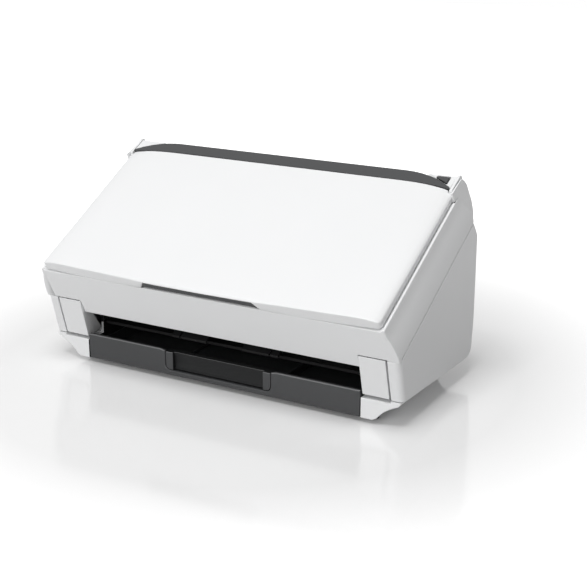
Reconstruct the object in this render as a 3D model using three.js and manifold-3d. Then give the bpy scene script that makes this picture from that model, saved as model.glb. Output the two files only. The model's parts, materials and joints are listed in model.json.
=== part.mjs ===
// Desktop sheet-fed document scanner with a hinged input tray, a front unit that
// swings open and a two-stage output tray. Millimetres, X right, -Y front, +Z up,
// origin on the table under the middle of the machine.
import * as THREE from 'three';
import { mergeVertices } from 'three/addons/utils/BufferGeometryUtils.js';
import Module from 'manifold-3d';

const wasm = await Module();
wasm.setup();

// Overall size
const width = 297;
const depth = 152;
const height = 154;
const half = width / 2;
const front = -depth / 2;
const rear = depth / 2;

// Clearances
const gap = 0.4;
const touch = 0.3;

// Walls
const casingWall = 2.5;
const coverWall = 2.4;
const lidWall = 2.2;
const legWall = 1.6;
const frameWall = 2.4;
const guideWall = 2.2;

// Front face: the fascia leans out over the output slot
const seamHeight = 75.4;
const fasciaBottom = 41.3;
const fasciaLean = 0.5025;
const lidFrontHeight = 83;
const partingFront = 51;
const partingTilt = 0.57857;
const columnFront = depth / 2 - 18.8;

// Swing axis of the front unit, low in the square legs
const swingY = front + 32.5;
const swingZ = 28;
const swingPin = 3;

// Square legs beside the output slot
const legInner = half - 31;
const legWidth = 20.2;
const legGap = 1.3;
const legBottom = 20.6;
const legTop = 51;
const legLean = 0.263;
const legFoot = depth / 2 - 26.8;

// Lower pan with its flared foot blocks
const panBottom = 3.3;
const footHeight = 3;
const footRadius = 3;
const bayHeight = 24.6;
const panLength = depth - 44;

// Lid of the input tray, in its own frame: U up the slope, N out of the top face
const lidHalf = half - 8.7;
const lidReach = depth - 19.981024;
const stripEnd = Math.hypot(lidReach, height - lidFrontHeight);
const lidLength = stripEnd - 11.3;
const lidSkirt = 9;
const lidCrown = 4.5;
const lidCrownWidth = 22;
const lidBow = 3.6;
const stripGap = 0.7;
const rimN = -lidSkirt - stripGap;
const stripRadius = 66;
const stripFlat = lidHalf - 41.8;
const trayPivotU = stripEnd + 0.4;
const trayPivotN = -3.7;
const trayPivotRadius = 3;
const trayPin = 1.7;

// Paper path: a straight slope behind the front unit
const pathAngle = 53;
const pathY = rear - 34;
const pathZ = height - 20;
const paperHalf = half - 38.5;
const paperGap = 0.8;
const feedAt = 40;
const driveAt = 62;
const sensorAt = 79;
const exitAt = 97;
const pathEnd = 106;

// Rollers, shafts and gears
const feedRadius = 11;
const driveRadius = 7.5;
const idlerRadius = 5.5;
const shaftRadius = 2.5;
const tyreLength = 24;
const tyreCentre = 52;
const gearModule = 1;
const gearWidth = 5;
const shaftTeeth = 16;
const pinionTeeth = 12;
const toothPlay = 0.24;

// Side frames and gear plane
const sideFrameInner = half - 28.9;
const upperFrameInner = sideFrameInner + 3;
const gearInner = sideFrameInner + 6.4;

// Sensor bars
const sensorLength = 13.2;
const sensorDepth = 11;
const sensorHalf = paperHalf + 3;

// Sliding edge guides of the input tray
const guideLength = 42;
const guideEnd = stripEnd - 23.9;
const guideHeight = 7.2;
const guideFoot = 18;
const rackU = guideEnd - 18;
const rackPinionTeeth = 12;
const rackModule = 0.8;
const rackLength = paperHalf + 2;

// Output tray
const trayHalf = legInner - 1.3;
const trayTop = 23.2;
const trayBottom = 3.6;
const trayFront = depth / 2 - 26;
const trayLength = panLength - 4;
const windowHalf = 45.4;
const windowTop = 21.9;
const flapLength = 18;
const flapHalf = 12;

// Buttons on the panel under the lid
const buttonRadius = 6;
const buttonX = paperHalf + 2;
const buttonPitch = 20;
const buttonU = 26;

// Sockets at the back
const usbWidth = 12.4;
const usbHeight = 11.2;
const jackRadius = 4.6;
const socketX = -96;
const socketPitch = 26;
const socketZ = 36;
const boardY = rear - 16;
const portEnd = rear - 3.4;

// Back wall vents
const ventCount = 9;
const ventPitch = 9;
const ventZ = 60;
const ventHeight = 24;

// Drawer bay
const bayHalf = trayHalf + 0.6;
const bayWall = 2.2;
const deckFront = front + 49;
const panRear = panLength - trayFront;
const skirtWall = 2;
const footX = bayHalf + skirtWall + gap + footRadius;
const footInset = 38;

// Small parts along the path
const sensorStagger = 2;
const feedTyre = 26;
const fitGap = 0.1;
const idlerStub = 2;
const idlerPin = 1.5;
const idlerOut = idlerRadius + 0.15;
const padHalf = 11;
const armAt = 53;
const armOut = 5.6;
const armPin = 1.4;
const flagX = 76;
const flagAt = 24;
const flagOut = -7;
const flagPin = 1.2;
const motorShaft = 1.6;
const armRadius = 5.2;

// Front unit sides and the panel under the lid
const sideTuck = 7.2;
const sideDrop = 27;
const panelTop = -17.5;
const panelWall = 2;
const panelHalf = lidHalf - 2.9;
const panelRear = 91.4;
const buttons = [buttonX, buttonX - buttonPitch];
const lensX = buttonX - 2 * buttonPitch;

// Rear housing and release lever
const humpHalf = lidHalf + 1;
const fillStart = lidHalf - 24.3;
const armInner = lidHalf - 2.4;
const armOuter = lidHalf - 0.2;
const capInner = lidHalf + 0.2;
const pinReach = 3;
const trayOpening = 155;
const latchX0 = lidHalf - 16.6;
const latchX1 = lidHalf - 7.2;
const tabRear = stripEnd - 2.5;
const tabTravel = 1.8;
const latchPivot = [rear - 13, height - 21];
const latchStrike = [rear - 23.5, height - 42];
const latchPin = 2;

// Input tray
const panelSide = lidHalf - 3;
const panelSheet = 1.8;
const stripUndercut = 0.7;
const gripHalf = 50;
const extensionLength = stripEnd - 55.9;
const rackBottom = -lidSkirt + panelSheet + touch;
const rackTop = rackBottom + 2;
const rackPin = 1.5;
const webWidth = 1.6;
const webOffset = rackPinionTeeth * rackModule / 2 + 2.6 * rackModule + 0.4;

// Output tray
const flapY = 8.4 - trayFront;
const plateHalf = 41;
const plateBottom = trayBottom + 4.5;
const flapZ = plateBottom + 3.4;
const flapPin = 1;
const extensionTray = trayLength - 8;

const radians = Math.PI / 180;

// Geometry helpers

function solid(geometry) {
  const bare = geometry.index ? geometry.toNonIndexed() : geometry.clone();
  bare.deleteAttribute('normal');
  bare.deleteAttribute('uv');
  const merged = mergeVertices(bare, 1e-4);
  return new wasm.Manifold(new wasm.Mesh({
    numProp: 3,
    vertProperties: new Float32Array(merged.attributes.position.array),
    triVerts: new Uint32Array(merged.index.array),
  }));
}

function geometryOf(body) {
  const mesh = body.getMesh();
  const geometry = new THREE.BufferGeometry();
  geometry.setAttribute('position', new THREE.BufferAttribute(mesh.vertProperties, 3));
  geometry.setIndex(new THREE.BufferAttribute(mesh.triVerts, 1));
  geometry.computeVertexNormals();
  return geometry;
}

function cut(body, ...tools) {
  return tools.reduce((left, tool) => left.subtract(tool), body);
}

function join(body, ...others) {
  return others.reduce((left, other) => left.add(other), body);
}

function common(body, ...others) {
  return others.reduce((left, other) => left.intersect(other), body);
}

// A closed outline from corners [a, b] or [a, b, radius], with round corners as arcs
function outline(corners, steps = 5) {
  const count = corners.length;
  const at = (i) => new THREE.Vector2(...corners[(i + count) % count].slice(0, 2));
  const points = corners.flatMap(([a, b, radius], i) => {
    const corner = new THREE.Vector2(a, b);
    if (!radius) return [corner];
    const back = at(i - 1).sub(corner).normalize();
    const ahead = at(i + 1).sub(corner).normalize();
    const halfTurn = Math.acos(Math.max(-1, Math.min(1, back.dot(ahead)))) / 2;
    const start = corner.clone().addScaledVector(back, radius / Math.tan(halfTurn));
    const middle = back.clone().add(ahead).normalize();
    const centre = corner.clone().addScaledVector(middle, radius / Math.sin(halfTurn));
    const turn = (Math.PI - 2 * halfTurn) * (back.cross(ahead) > 0 ? -1 : 1);
    return Array.from({ length: steps + 1 }, (unused, k) =>
      start.clone().rotateAround(centre, turn * k / steps));
  });
  return new THREE.Shape(points);
}

function extrusion(shape, length) {
  const flat = shape instanceof THREE.Shape ? shape : outline(shape);
  return new THREE.ExtrudeGeometry(flat, { depth: length, bevelEnabled: false });
}

// An outline in (y, z), carried along X from x0 to x1
function alongX(shape, x0, x1) {
  const geometry = extrusion(shape, x1 - x0);
  geometry.applyMatrix4(new THREE.Matrix4().set(0, 0, 1, x0, 1, 0, 0, 0, 0, 1, 0, 0, 0, 0, 0, 1));
  return solid(geometry);
}

// An outline in (x, z), carried along Y from y0 to y1
function alongY(shape, y0, y1) {
  const geometry = extrusion(shape, y1 - y0);
  geometry.applyMatrix4(new THREE.Matrix4().set(1, 0, 0, 0, 0, 0, -1, y1, 0, 1, 0, 0, 0, 0, 0, 1));
  return solid(geometry);
}

// An outline in (x, y), carried along Z from z0 to z1
function alongZ(shape, z0, z1) {
  const geometry = extrusion(shape, z1 - z0);
  geometry.translate(0, 0, z0);
  return solid(geometry);
}

function box(x0, x1, y0, y1, z0, z1) {
  const geometry = new THREE.BoxGeometry(x1 - x0, y1 - y0, z1 - z0);
  geometry.translate((x0 + x1) / 2, (y0 + y1) / 2, (z0 + z1) / 2);
  return solid(geometry);
}

// A round bar along X
function barX(radius, x0, x1, y, z, sides = 24) {
  const geometry = new THREE.CylinderGeometry(radius, radius, x1 - x0, sides);
  geometry.rotateZ(Math.PI / 2);
  geometry.translate((x0 + x1) / 2, y, z);
  return solid(geometry);
}

// A round bar along Z, used for feet and buttons
function barZ(radius, z0, z1, x, y, sides = 24) {
  const geometry = new THREE.CylinderGeometry(radius, radius, z1 - z0, sides);
  geometry.rotateX(Math.PI / 2);
  geometry.translate(x, y, (z0 + z1) / 2);
  return solid(geometry);
}

// A round bar along Y, used for the sockets
function barY(radius, y0, y1, x, z, sides = 24) {
  const geometry = new THREE.CylinderGeometry(radius, radius, y1 - y0, sides);
  geometry.translate(x, (y0 + y1) / 2, z);
  return solid(geometry);
}

function mirrored(body) {
  const geometry = geometryOf(body);
  geometry.applyMatrix4(new THREE.Matrix4().makeScale(-1, 1, 1));
  const index = geometry.index.array;
  for (let i = 0; i < index.length; i += 3) {
    [index[i], index[i + 1]] = [index[i + 1], index[i]];
  }
  return solid(geometry);
}

// Frames of the slopes: local Y runs up the slope and local Z points out of it
function slopeFrame(angle, y, z) {
  const matrix = new THREE.Matrix4().makeRotationX(angle);
  matrix.setPosition(0, y, z);
  return matrix;
}

function moved(body, matrix) {
  const geometry = geometryOf(body);
  geometry.applyMatrix4(matrix);
  return solid(geometry);
}

// Leans a body along Y in proportion to its height
function sheared(body, lean) {
  return moved(body, new THREE.Matrix4().set(1, 0, 0, 0, 0, 1, lean, 0, 0, 0, 1, 0, 0, 0, 0, 1));
}

function pointIn(matrix, u, n) {
  const point = new THREE.Vector3(0, u, n).applyMatrix4(matrix);
  return [point.y, point.z];
}

const lidAngle = Math.asin((height - lidFrontHeight) / stripEnd);
const lidFrame = slopeFrame(lidAngle, front, lidFrontHeight);
const pathTilt = pathAngle * radians;
const pathFrame = slopeFrame(pathTilt, pathY, pathZ);
const lidPoint = (u, n) => pointIn(lidFrame, u, n);
const pathPoint = (down, out) => pointIn(pathFrame, -down, out);

// Materials
function plastic(colour, roughness) {
  return new THREE.MeshStandardMaterial({ color: colour, roughness, metalness: 0 });
}

const finishes = {
  white: plastic(0xeeeff0, 0.4),
  lightGrey: plastic(0xc9cbcd, 0.5),
  dark: plastic(0x4a4b4d, 0.45),
  black: plastic(0x17181a, 0.6),
  frame: plastic(0x2c2d2f, 0.65),
  gear: plastic(0xe6e2d4, 0.5),
  rubber: plastic(0x26272a, 0.85),
  button: plastic(0xd8dadc, 0.35),
  board: plastic(0x1f5a36, 0.5),
  lens: plastic(0x0c1014, 0.15),
  steel: new THREE.MeshStandardMaterial({ color: 0xb9bcc0, roughness: 0.3, metalness: 1 }),
};

const group = new THREE.Group();
const trayGroup = new THREE.Group();
trayGroup.applyMatrix4(lidFrame);
const pathGroup = new THREE.Group();
pathGroup.applyMatrix4(pathFrame);
group.add(trayGroup, pathGroup);

function place(name, body, finish, parent = group) {
  const mesh = new THREE.Mesh(geometryOf(body), finishes[finish].clone());
  mesh.name = name;
  parent.add(mesh);
  return mesh;
}

// Outer profiles in (y, z)

const partingAngle = lidAngle + partingTilt * radians;
const partingSlope = Math.tan(partingAngle);
const fasciaAt = (z) => front + 24 - (z - fasciaBottom) * fasciaLean;
const legFrontAt = (z) => -legFoot - (z - legBottom) * legLean;
const partingAt = (y) => partingFront + (y + columnFront) * partingSlope;

// The rear seam: an arc about the swing axis from under the lid's end down to the back wall
const lipThickness = 1.807997;
const seamTopY = rear - 28.2;
const rimHeightAt = (y) => lidFrontHeight + (y - front) * Math.tan(lidAngle) + rimN / Math.cos(lidAngle);
const seamTopZ = rimHeightAt(seamTopY) - lipThickness;
const rearSeamRadius = Math.hypot(seamTopY - swingY, seamTopZ - swingZ);
const seamBottomY = rear - 0.8;
const seamBottomZ = swingZ + Math.sqrt(rearSeamRadius ** 2 - (seamBottomY - swingY) ** 2);
const rearWall = [
  [rear - 5.5, 16, 8], [rear - 1.6, 46], [rear, seamBottomZ - 43.938], [rear, seamBottomZ - 25.938],
  [rear - 0.6, seamBottomZ - 9.938],
];

// The arc about the swing axis that parts the rear housing from the base
function seamArc(radius, yStart, yEnd, count = 6) {
  const from = Math.acos((yStart - swingY) / radius);
  const to = Math.acos((yEnd - swingY) / radius);
  return Array.from({ length: count + 1 }, (unused, i) => {
    const angle = from + (to - from) * i / count;
    return [swingY + radius * Math.cos(angle), swingZ + radius * Math.sin(angle)];
  });
}

// Rear shoulder of the cover's side walls, which the ends of the rear housing follow
const shoulderLine = [
  [rear - 26.6, height - 14.6], [rear - 21, height - 19.4], [rear - 14.4, height - 26.2],
  [rear - 10.6, height - 32.8],
];

// Where an arc about the swing axis meets the parting line, lifted by a clearance
function seamTop(radius, lift) {
  const base = partingAt(swingY) + lift - swingZ;
  const slope = 1 + partingSlope ** 2;
  const inner = (base * partingSlope) ** 2 - slope * (base ** 2 - radius ** 2);
  return swingY + (Math.sqrt(inner) - base * partingSlope) / slope;
}

const coverRear = seamTop(rearSeamRadius, gap);

// Base casing: side walls, back wall and the front columns

const undersideAt = (y) => 20 - (y + legFoot) * 0.044;
const legOuter = legInner + legWidth;
const legRear = front + 45;

function baseCasing() {
  const profile = outline([
    [legFrontAt(undersideAt(-legFoot)), undersideAt(-legFoot), 1], [rear - 16, undersideAt(rear - 16)],
    ...rearWall, ...seamArc(rearSeamRadius - gap, seamBottomY, seamTop(rearSeamRadius - gap, 0)),
    [-columnFront, partingFront],
  ]);
  const plan = [[-half, front - 4], [half, front - 4], [half, rear, 3.5], [-half, rear, 3.5]];
  const frontPlan = alongZ([
    [-half, -legFoot, 4.5], [half, -legFoot, 4.5], [half, 160], [-half, 160],
  ], -legBottom, height);
  const leaned = moved(sheared(frontPlan, -legLean), new THREE.Matrix4().makeTranslation(0, 0, legBottom));
  const inside = outline([
    [legRear, undersideAt(legRear) + casingWall], [rear - 18, undersideAt(rear - 18) + casingWall],
    [rear - 5.5 - casingWall, 17 + casingWall, 6],
    ...rearWall.slice(1).map(([y, z]) => [y - casingWall, z]), [seamBottomY - casingWall, seamBottomZ + 6.062],
    [rear - 16, height - 4], [legRear, 90],
  ]);
  const legSlot = box(-legOuter - legGap, legOuter + legGap, front + 16, legRear + 0.1, 10, 90);
  const panOpening = box(-sideFrameInner + touch, sideFrameInner - touch, front + 16, panRear, 10, 24);
  const usb = box(socketX - usbWidth / 2 - touch, socketX + usbWidth / 2 + touch, boardY, rear + 14,
    socketZ - usbHeight / 2 - touch, socketZ + usbHeight / 2 + touch);
  const jack = barY(jackRadius + touch, boardY, rear + 14, socketX + socketPitch, socketZ);
  const lock = box(half - 60, half - 53, boardY, rear + 14, socketZ - 1.5, socketZ + 1.5);
  const vents = Array.from({ length: ventCount }, (unused, i) => {
    const x = (i - (ventCount - 1) / 2) * ventPitch;
    return box(x - ventPitch / 4, x + ventPitch / 4, 60, 90, ventZ, ventZ + ventHeight);
  });
  const pinHole = barX(swingPin + touch, legInner, half - casingWall, swingY, swingZ);
  const shell = common(alongX(profile, -half, half), alongZ(plan, 0, height), leaned);
  return cut(shell, alongX(inside, -half + casingWall, half - casingWall), legSlot, panOpening,
    usb, jack, lock, ...vents, pinHole, mirrored(pinHole));
}

// Lower pan: flared foot blocks, drawer bay and the plate over it

function basePan() {
  const flare = [
    [bayHalf, panBottom], [bayHalf + 8.6, panBottom], [bayHalf + 11.6, 4.7, 1], [bayHalf + 13.4, 7],
    [bayHalf + 16.8, 10.3], [bayHalf + 20.6, 13], [bayHalf + 24.4, 14.9], [bayHalf + 27.8, 16.4],
    [bayHalf + 29.4, 18], [bayHalf + 29.8, 19.6], [bayHalf + 29.8, 24], [bayHalf, 24],
  ];
  const panFront = -trayFront;
  const block = alongY(flare, panFront, panRear);
  const top = alongX([
    [front + 16, undersideAt(front + 16) - gap], [rear - 6, undersideAt(rear - 6) - gap], [rear - 6, 40],
    [front + 16, 40],
  ], bayHalf + bayWall, half);
  const wall = box(bayHalf, bayHalf + bayWall, legRear - touch, panRear, 20, bayHeight + 2);
  const pocket = box(bayHalf - 1, legOuter + legGap, front + 16, legRear - touch, legBottom - 2.4, 60);
  const low = box(bayHalf - 1, bayHalf + bayWall + 0.1, front + 16, panRear + 1, 23.9, 60);
  const skirt = box(bayHalf, bayHalf + skirtWall, panFront + 6, panRear, trayBottom - 2, panBottom + 1);
  const side = join(cut(block, top, pocket, low), wall, skirt);
  const runner = box(trayHalf - 5.4, bayHalf + 1, panFront + 6, panRear, trayBottom - 2, trayBottom - gap);
  const plate = box(-bayHalf - 1, bayHalf + 1, deckFront, panRear, bayHeight, bayHeight + 2);
  const back = box(-bayHalf - 1, bayHalf + 1, panRear - 2, panRear, panBottom + 3, bayHeight + 1);
  const right = join(side, runner);
  return join(right, mirrored(right), plate, back);
}

// Side frames of the base, with bearings for the shafts and stubs for the idler gears

const [feedY, feedZ] = pathPoint(feedAt, -feedRadius - touch);
const [driveY, driveZ] = pathPoint(driveAt, -driveRadius - touch / 2);
const [exitY, exitZ] = pathPoint(exitAt, -driveRadius - touch / 2);
const shaftPitch = shaftTeeth * gearModule;
const upperIdler = besidePoint([driveY, driveZ], [feedY, feedZ], shaftPitch, shaftPitch);
const lowerIdler = [(driveY + exitY) / 2, (driveZ + exitZ) / 2];
const motorReach = (shaftTeeth + pinionTeeth) * gearModule / 2;
const motorAngle = -32 * radians;
const motorY = upperIdler[0] + motorReach * Math.cos(motorAngle);
const motorZ = upperIdler[1] + motorReach * Math.sin(motorAngle);
const lowerIdlerTeeth = Math.round(2 * (exitAt - driveAt) / gearModule / 2) - shaftTeeth;

// The point at distances ra and rb from a and b, on the right-hand side going from a to b
function besidePoint(a, b, ra, rb) {
  const span = Math.hypot(b[0] - a[0], b[1] - a[1]);
  const along = (ra * ra - rb * rb + span * span) / (2 * span);
  const aside = Math.sqrt(Math.max(ra * ra - along * along, 0));
  const [dy, dz] = [(b[0] - a[0]) / span, (b[1] - a[1]) / span];
  return [a[0] + dy * along + dz * aside, a[1] + dz * along - dy * aside];
}

function sideFrame(isRight) {
  const x0 = sideFrameInner;
  const x1 = sideFrameInner + frameWall;
  const bottom = (y) => undersideAt(y) + casingWall + touch;
  const plate = alongX([
    pathPoint(1, -1), pathPoint(pathEnd - 1, -1), [deckFront, 36], [deckFront, bottom(deckFront)],
    [rear - 18, bottom(rear - 18)], [rear - 10, 30, 4], [rear - 8, height - 64], [rear - 18, height - 34, 4],
  ], x0, x1);
  const holes = [[feedY, feedZ], [driveY, driveZ], [exitY, exitZ]].map(([y, z]) =>
    barX(shaftRadius + touch, x0 - 1, x1 + 1, y, z));
  const relief = alongX([[30, 34, 3], [60, 34, 3], [60, 60, 3], [44, 60, 3]], x0 - 1, x1 + 1);
  const body = cut(plate, ...holes, relief);
  if (!isRight) return mirrored(body);
  const stubs = [upperIdler, lowerIdler].map(([y, z]) =>
    barX(idlerStub, x1 - 1, gearInner + gearWidth + touch, y, z, 16));
  const strike = barX(2, x1 - 1, latchX1, ...latchStrike, 16);
  const motorHole = barX(motorShaft + 1, x0 - 1, x1 + 1, motorY, motorZ);
  return cut(join(body, ...stubs, strike), motorHole);
}

// Paper guides

function rearGuide() {
  const halfWidth = sideFrameInner - touch;
  const body = box(-halfWidth, halfWidth, -pathEnd, 2, -paperGap - guideWall, -paperGap);
  const windows = [
    box(-feedTyre / 2 - 1, feedTyre / 2 + 1, -feedAt - 10.5, -feedAt + 10.5, -9, 1),
    box(-sensorHalf - touch, sensorHalf + touch, -sensorAt + sensorStagger - sensorLength / 2 - touch,
      -sensorAt + sensorStagger + sensorLength / 2 + touch, -9, 1),
    box(flagX - 2.6, flagX + 2.6, -flagAt - 11, -flagAt + 11.5, -9, 1),
  ];
  for (const side of [-1, 1]) {
    for (const at of [driveAt, exitAt]) {
      windows.push(box(side * tyreCentre - tyreLength / 2 - 1, side * tyreCentre + tyreLength / 2 + 1,
        -at - 7, -at + 7, -9, 1));
    }
  }
  const ears = [-1, 1].map((side) => cut(
    box(flagX + side * 4.4 - 0.9, flagX + side * 4.4 + 0.9, -flagAt - 3, -flagAt + 3, -10.5, -1),
    barX(flagPin + touch, flagX + side * 4.4 - 2, flagX + side * 4.4 + 2, -flagAt, flagOut, 16)));
  const path = join(cut(body, ...windows), ...ears);
  const start = pathPoint(pathEnd - 1, -paperGap - 0.1);
  const startBack = pathPoint(pathEnd - 1.5, -paperGap - guideWall + 0.1);
  const lipPlate = (x0, x1, y, z) => alongX([start, [y, z], [y + 0.6, z - guideWall], startBack], x0, x1);
  const deckHalf = legInner - 1;
  const deck = lipPlate(-deckHalf, deckHalf, front + 45.4, 37.4);
  const tabs = [[15.5, 38], [39.2, 45.6]].flatMap(([a, b]) => [
    tabPlate(a, b), tabPlate(-b, -a),
  ]);
  return join(moved(path, pathFrame), deck, ...tabs);
}

function tabPlate(x0, x1) {
  return alongX([
    [front + 47, 38.4], [front + 36, 31.4], [front + 36.4, 29.6], [front + 47.4, 35.8],
  ], x0, x1);
}

function frontGuide() {
  const halfWidth = upperFrameInner - touch;
  const topAt = feedAt - 6;
  const body = box(-halfWidth, halfWidth, -pathEnd, -topAt, paperGap, paperGap + guideWall);
  const windows = [
    box(-padHalf - 1, padHalf + 1, -armAt - 2.2, -feedAt + 10, 0, 9),
    box(-sensorHalf - touch, sensorHalf + touch, -sensorAt - sensorStagger - sensorLength / 2 - touch,
      -sensorAt - sensorStagger + sensorLength / 2 + touch, 0, 9),
  ];
  const ears = [];
  for (const side of [-1, 1]) {
    for (const at of [driveAt, exitAt]) {
      const x = side * tyreCentre;
      windows.push(box(x - tyreLength / 2 - 0.6, x + tyreLength / 2 + 0.6, -at - 5.8, -at + 5.8, 0, 9));
      for (const end of [-1, 1]) {
        const ear = x + end * (tyreLength / 2 + 2);
        ears.push(cut(box(ear - 1, ear + 1, -at - 3.4, -at + 3.4, 2, idlerOut + 3.4),
          barX(idlerPin + touch, ear - 2, ear + 2, -at, idlerOut, 16)));
      }
    }
    const x = side * (padHalf + 2.6);
    ears.push(cut(box(x - 1, x + 1, -armAt - 3, -armAt + 3, 2, armOut + 3),
      barX(armPin + touch, x - 2, x + 2, -armAt, armOut, 16)));
  }
  const path = moved(join(cut(body, ...windows), ...ears), pathFrame);
  const bottomHalf = legInner - 1;
  const bottom = alongX([
    pathPoint(pathEnd - 1, paperGap + 0.1), pathPoint(pathEnd - 1.5, paperGap + guideWall - 0.1),
    [fasciaInner(46.5) + gap, 46.5], [fasciaInner(44) + gap, 44],
  ], -bottomHalf, bottomHalf);
  return join(path, bottom);
}

const fasciaInner = (z) => fasciaAt(z) + coverWall * 1.12;

// Front unit: chassis with arms that reach down into the legs

function upperFrame() {
  const x0 = upperFrameInner;
  const x1 = upperFrameInner + frameWall;
  const frontEdge = (z) => Math.max(legFrontAt(z), fasciaAt(z)) + coverWall * 1.12 + gap;
  const plate = alongX([
    [swingY - armRadius + 0.5, swingZ], [legFrontAt(45) + 3, 45], [frontEdge(58), 58],
    [fasciaInner(66) + gap, 66], lidPoint(13, panelTop - panelWall - gap),
    lidPoint(86, panelTop - panelWall - gap), pathPoint(feedAt - 1, 1.4), pathPoint(pathEnd - 2, 1.4),
    [front + 43, 52], [front + 36, 40], [swingY + armRadius - 0.5, swingZ],
  ], x0, x1);
  const knuckle = barX(armRadius, x0, legOuter - 4.5, swingY, swingZ);
  const arm = alongX([
    [swingY - armRadius + 0.5, swingZ], [legFrontAt(45) + 3, 45], [front + 34, 45], [swingY + armRadius - 0.5, swingZ],
  ], x0, legOuter - 4.5);
  const right = cut(join(plate, knuckle, arm), barX(swingPin + touch, x0 - 1, legOuter, swingY, swingZ));
  const beamAt = 58;
  const beamBottom = legTop + gap;
  const frontBeam = alongX([
    [front + 31, beamBottom], [front + 31, 60], [fasciaInner(60) + gap, 60], [fasciaInner(beamBottom) + gap, beamBottom],
  ], -x0 - 1, x0 + 1);
  const midBeam = alongX([
    lidPoint(beamAt, panelTop - panelWall - gap), lidPoint(beamAt, panelTop - panelWall - 6),
    lidPoint(beamAt + 9, panelTop - panelWall - 6), lidPoint(beamAt + 9, panelTop - panelWall - gap),
  ], -x0 - 1, x0 + 1);
  return join(right, mirrored(right), frontBeam, midBeam);
}

function legCover() {
  const profile = outline([
    [legFrontAt(legTop), legTop], [-legFoot, legBottom, 0.8], [11.7 - legFoot, legBottom + 0.4, 2],
    [16.8 - legFoot, legBottom + 2.6, 1.5], [8.2 - legFoot, 36], [5.8 - legFoot, legTop],
  ]);
  const low = legBottom + legWall;
  const hollow = [
    [legFrontAt(legTop + 2) + legWall, legTop + 2], [legFrontAt(low) + legWall, low], [29.2 - legFoot, low],
    [29.2 - legFoot, legTop + 2],
  ];
  const skin = cut(alongX(profile, legInner, legOuter),
    alongX(hollow, legInner + legWall, legOuter - legWall));
  return cut(skin, barX(swingPin + touch, legOuter - legWall - 1, legOuter + 1, swingY, swingZ));
}

// Cover of the front unit: fascia, side walls that bulge outwards, and the rim round the lid

function sideSection(inset) {
  const steps = 6;
  const points = Array.from({ length: steps + 1 }, (unused, i) => {
    const share = i / steps;
    return [half - inset - sideTuck * (1 - share) ** 1.7, rimN + 0.01 - sideDrop * share];
  });
  return [...points, [half - inset, -110], [0, -110], [0, rimN + 0.01]];
}

function slopedSides(inset) {
  const right = moved(alongY(sideSection(inset), -60, 220), lidFrame);
  return join(right, mirrored(right));
}

function coverShell() {
  const rimRearU = stripEnd - 14.9;
  const profile = outline([
    [fasciaAt(fasciaBottom), fasciaBottom, 0.7], [fasciaAt(fasciaBottom) + 4, fasciaBottom],
    [fasciaAt(fasciaBottom) + 4, partingAt(fasciaAt(fasciaBottom) + 4) + gap], [coverRear, partingAt(coverRear) + gap],
    ...[...shoulderLine].reverse(), lidPoint(rimRearU, rimN), [fasciaAt(seamHeight), seamHeight],
  ]);
  const inside = outline([
    [fasciaInner(30), 30], [fasciaInner(73), 73], lidPoint(8, rimN - coverWall),
    lidPoint(stripEnd, rimN - coverWall), [rear + 4, height - 54], [rear - 16, 60], [front + 46, 20],
  ]);
  const outer = common(alongX(profile, -half, half), slopedSides(0));
  const inner = common(alongX(inside, -half, half), slopedSides(coverWall));
  const mouth = moved(box(-lidHalf + 2.4, lidHalf - 2.4, 6, 200, -30, 10), lidFrame);
  const legRoom = alongX([
    [front - 4, 20], [front - 4, legTop + gap], [-columnFront, partingFront + gap],
    [front + 30, partingAt(front + 30) + gap], [front + 30, 20],
  ], legInner - gap, half + 1);
  const humpRoom = alongX([
    lidPoint(stripEnd - 21.9, 6), lidPoint(stripEnd - 21.9, rimN - 4), [rear - 16, height - 36], [rear + 14, height - 64],
    [rear + 14, height + 16],
  ], -humpHalf - gap, humpHalf + gap);
  return cut(outer, inner, mouth, legRoom, mirrored(legRoom), humpRoom);
}

// Panel under the lid, with the buttons

function topPanel() {
  const low = panelTop - panelWall;
  const plate = box(-panelHalf, panelHalf, 6.4, panelRear, low, panelTop);
  const flangeTop = rimN - coverWall - gap;
  const sides = [-1, 1].map((side) => {
    const a = side * panelHalf;
    const b = side * (panelHalf - 1.6);
    return box(Math.min(a, b), Math.max(a, b), 6.4, guideEnd - guideLength - 2, low, flangeTop);
  });
  const lip = box(-panelHalf, panelHalf, panelRear - 1.8, panelRear, low - 1.2, panelTop);
  const holes = buttons.map((x) => barZ(buttonRadius + touch, low - 1, panelTop + 1, x, buttonU));
  const lensHole = box(lensX - 4 - touch, lensX + 4 + touch, buttonU - 1.5 - touch, buttonU + 1.5 + touch,
    low - 1, panelTop + 1);
  return cut(join(plate, ...sides, lip), ...holes, lensHole);
}

function button(x) {
  const low = panelTop - panelWall;
  return join(barZ(buttonRadius, low - 1.5, panelTop + 1.4, x, buttonU),
    barZ(buttonRadius + 1.4, low - 3.2, low - 1.6 + 0.2, x, buttonU));
}

// Rear housing that carries the input tray

const [pivotY, pivotZ] = lidPoint(trayPivotU, trayPivotN);

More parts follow.
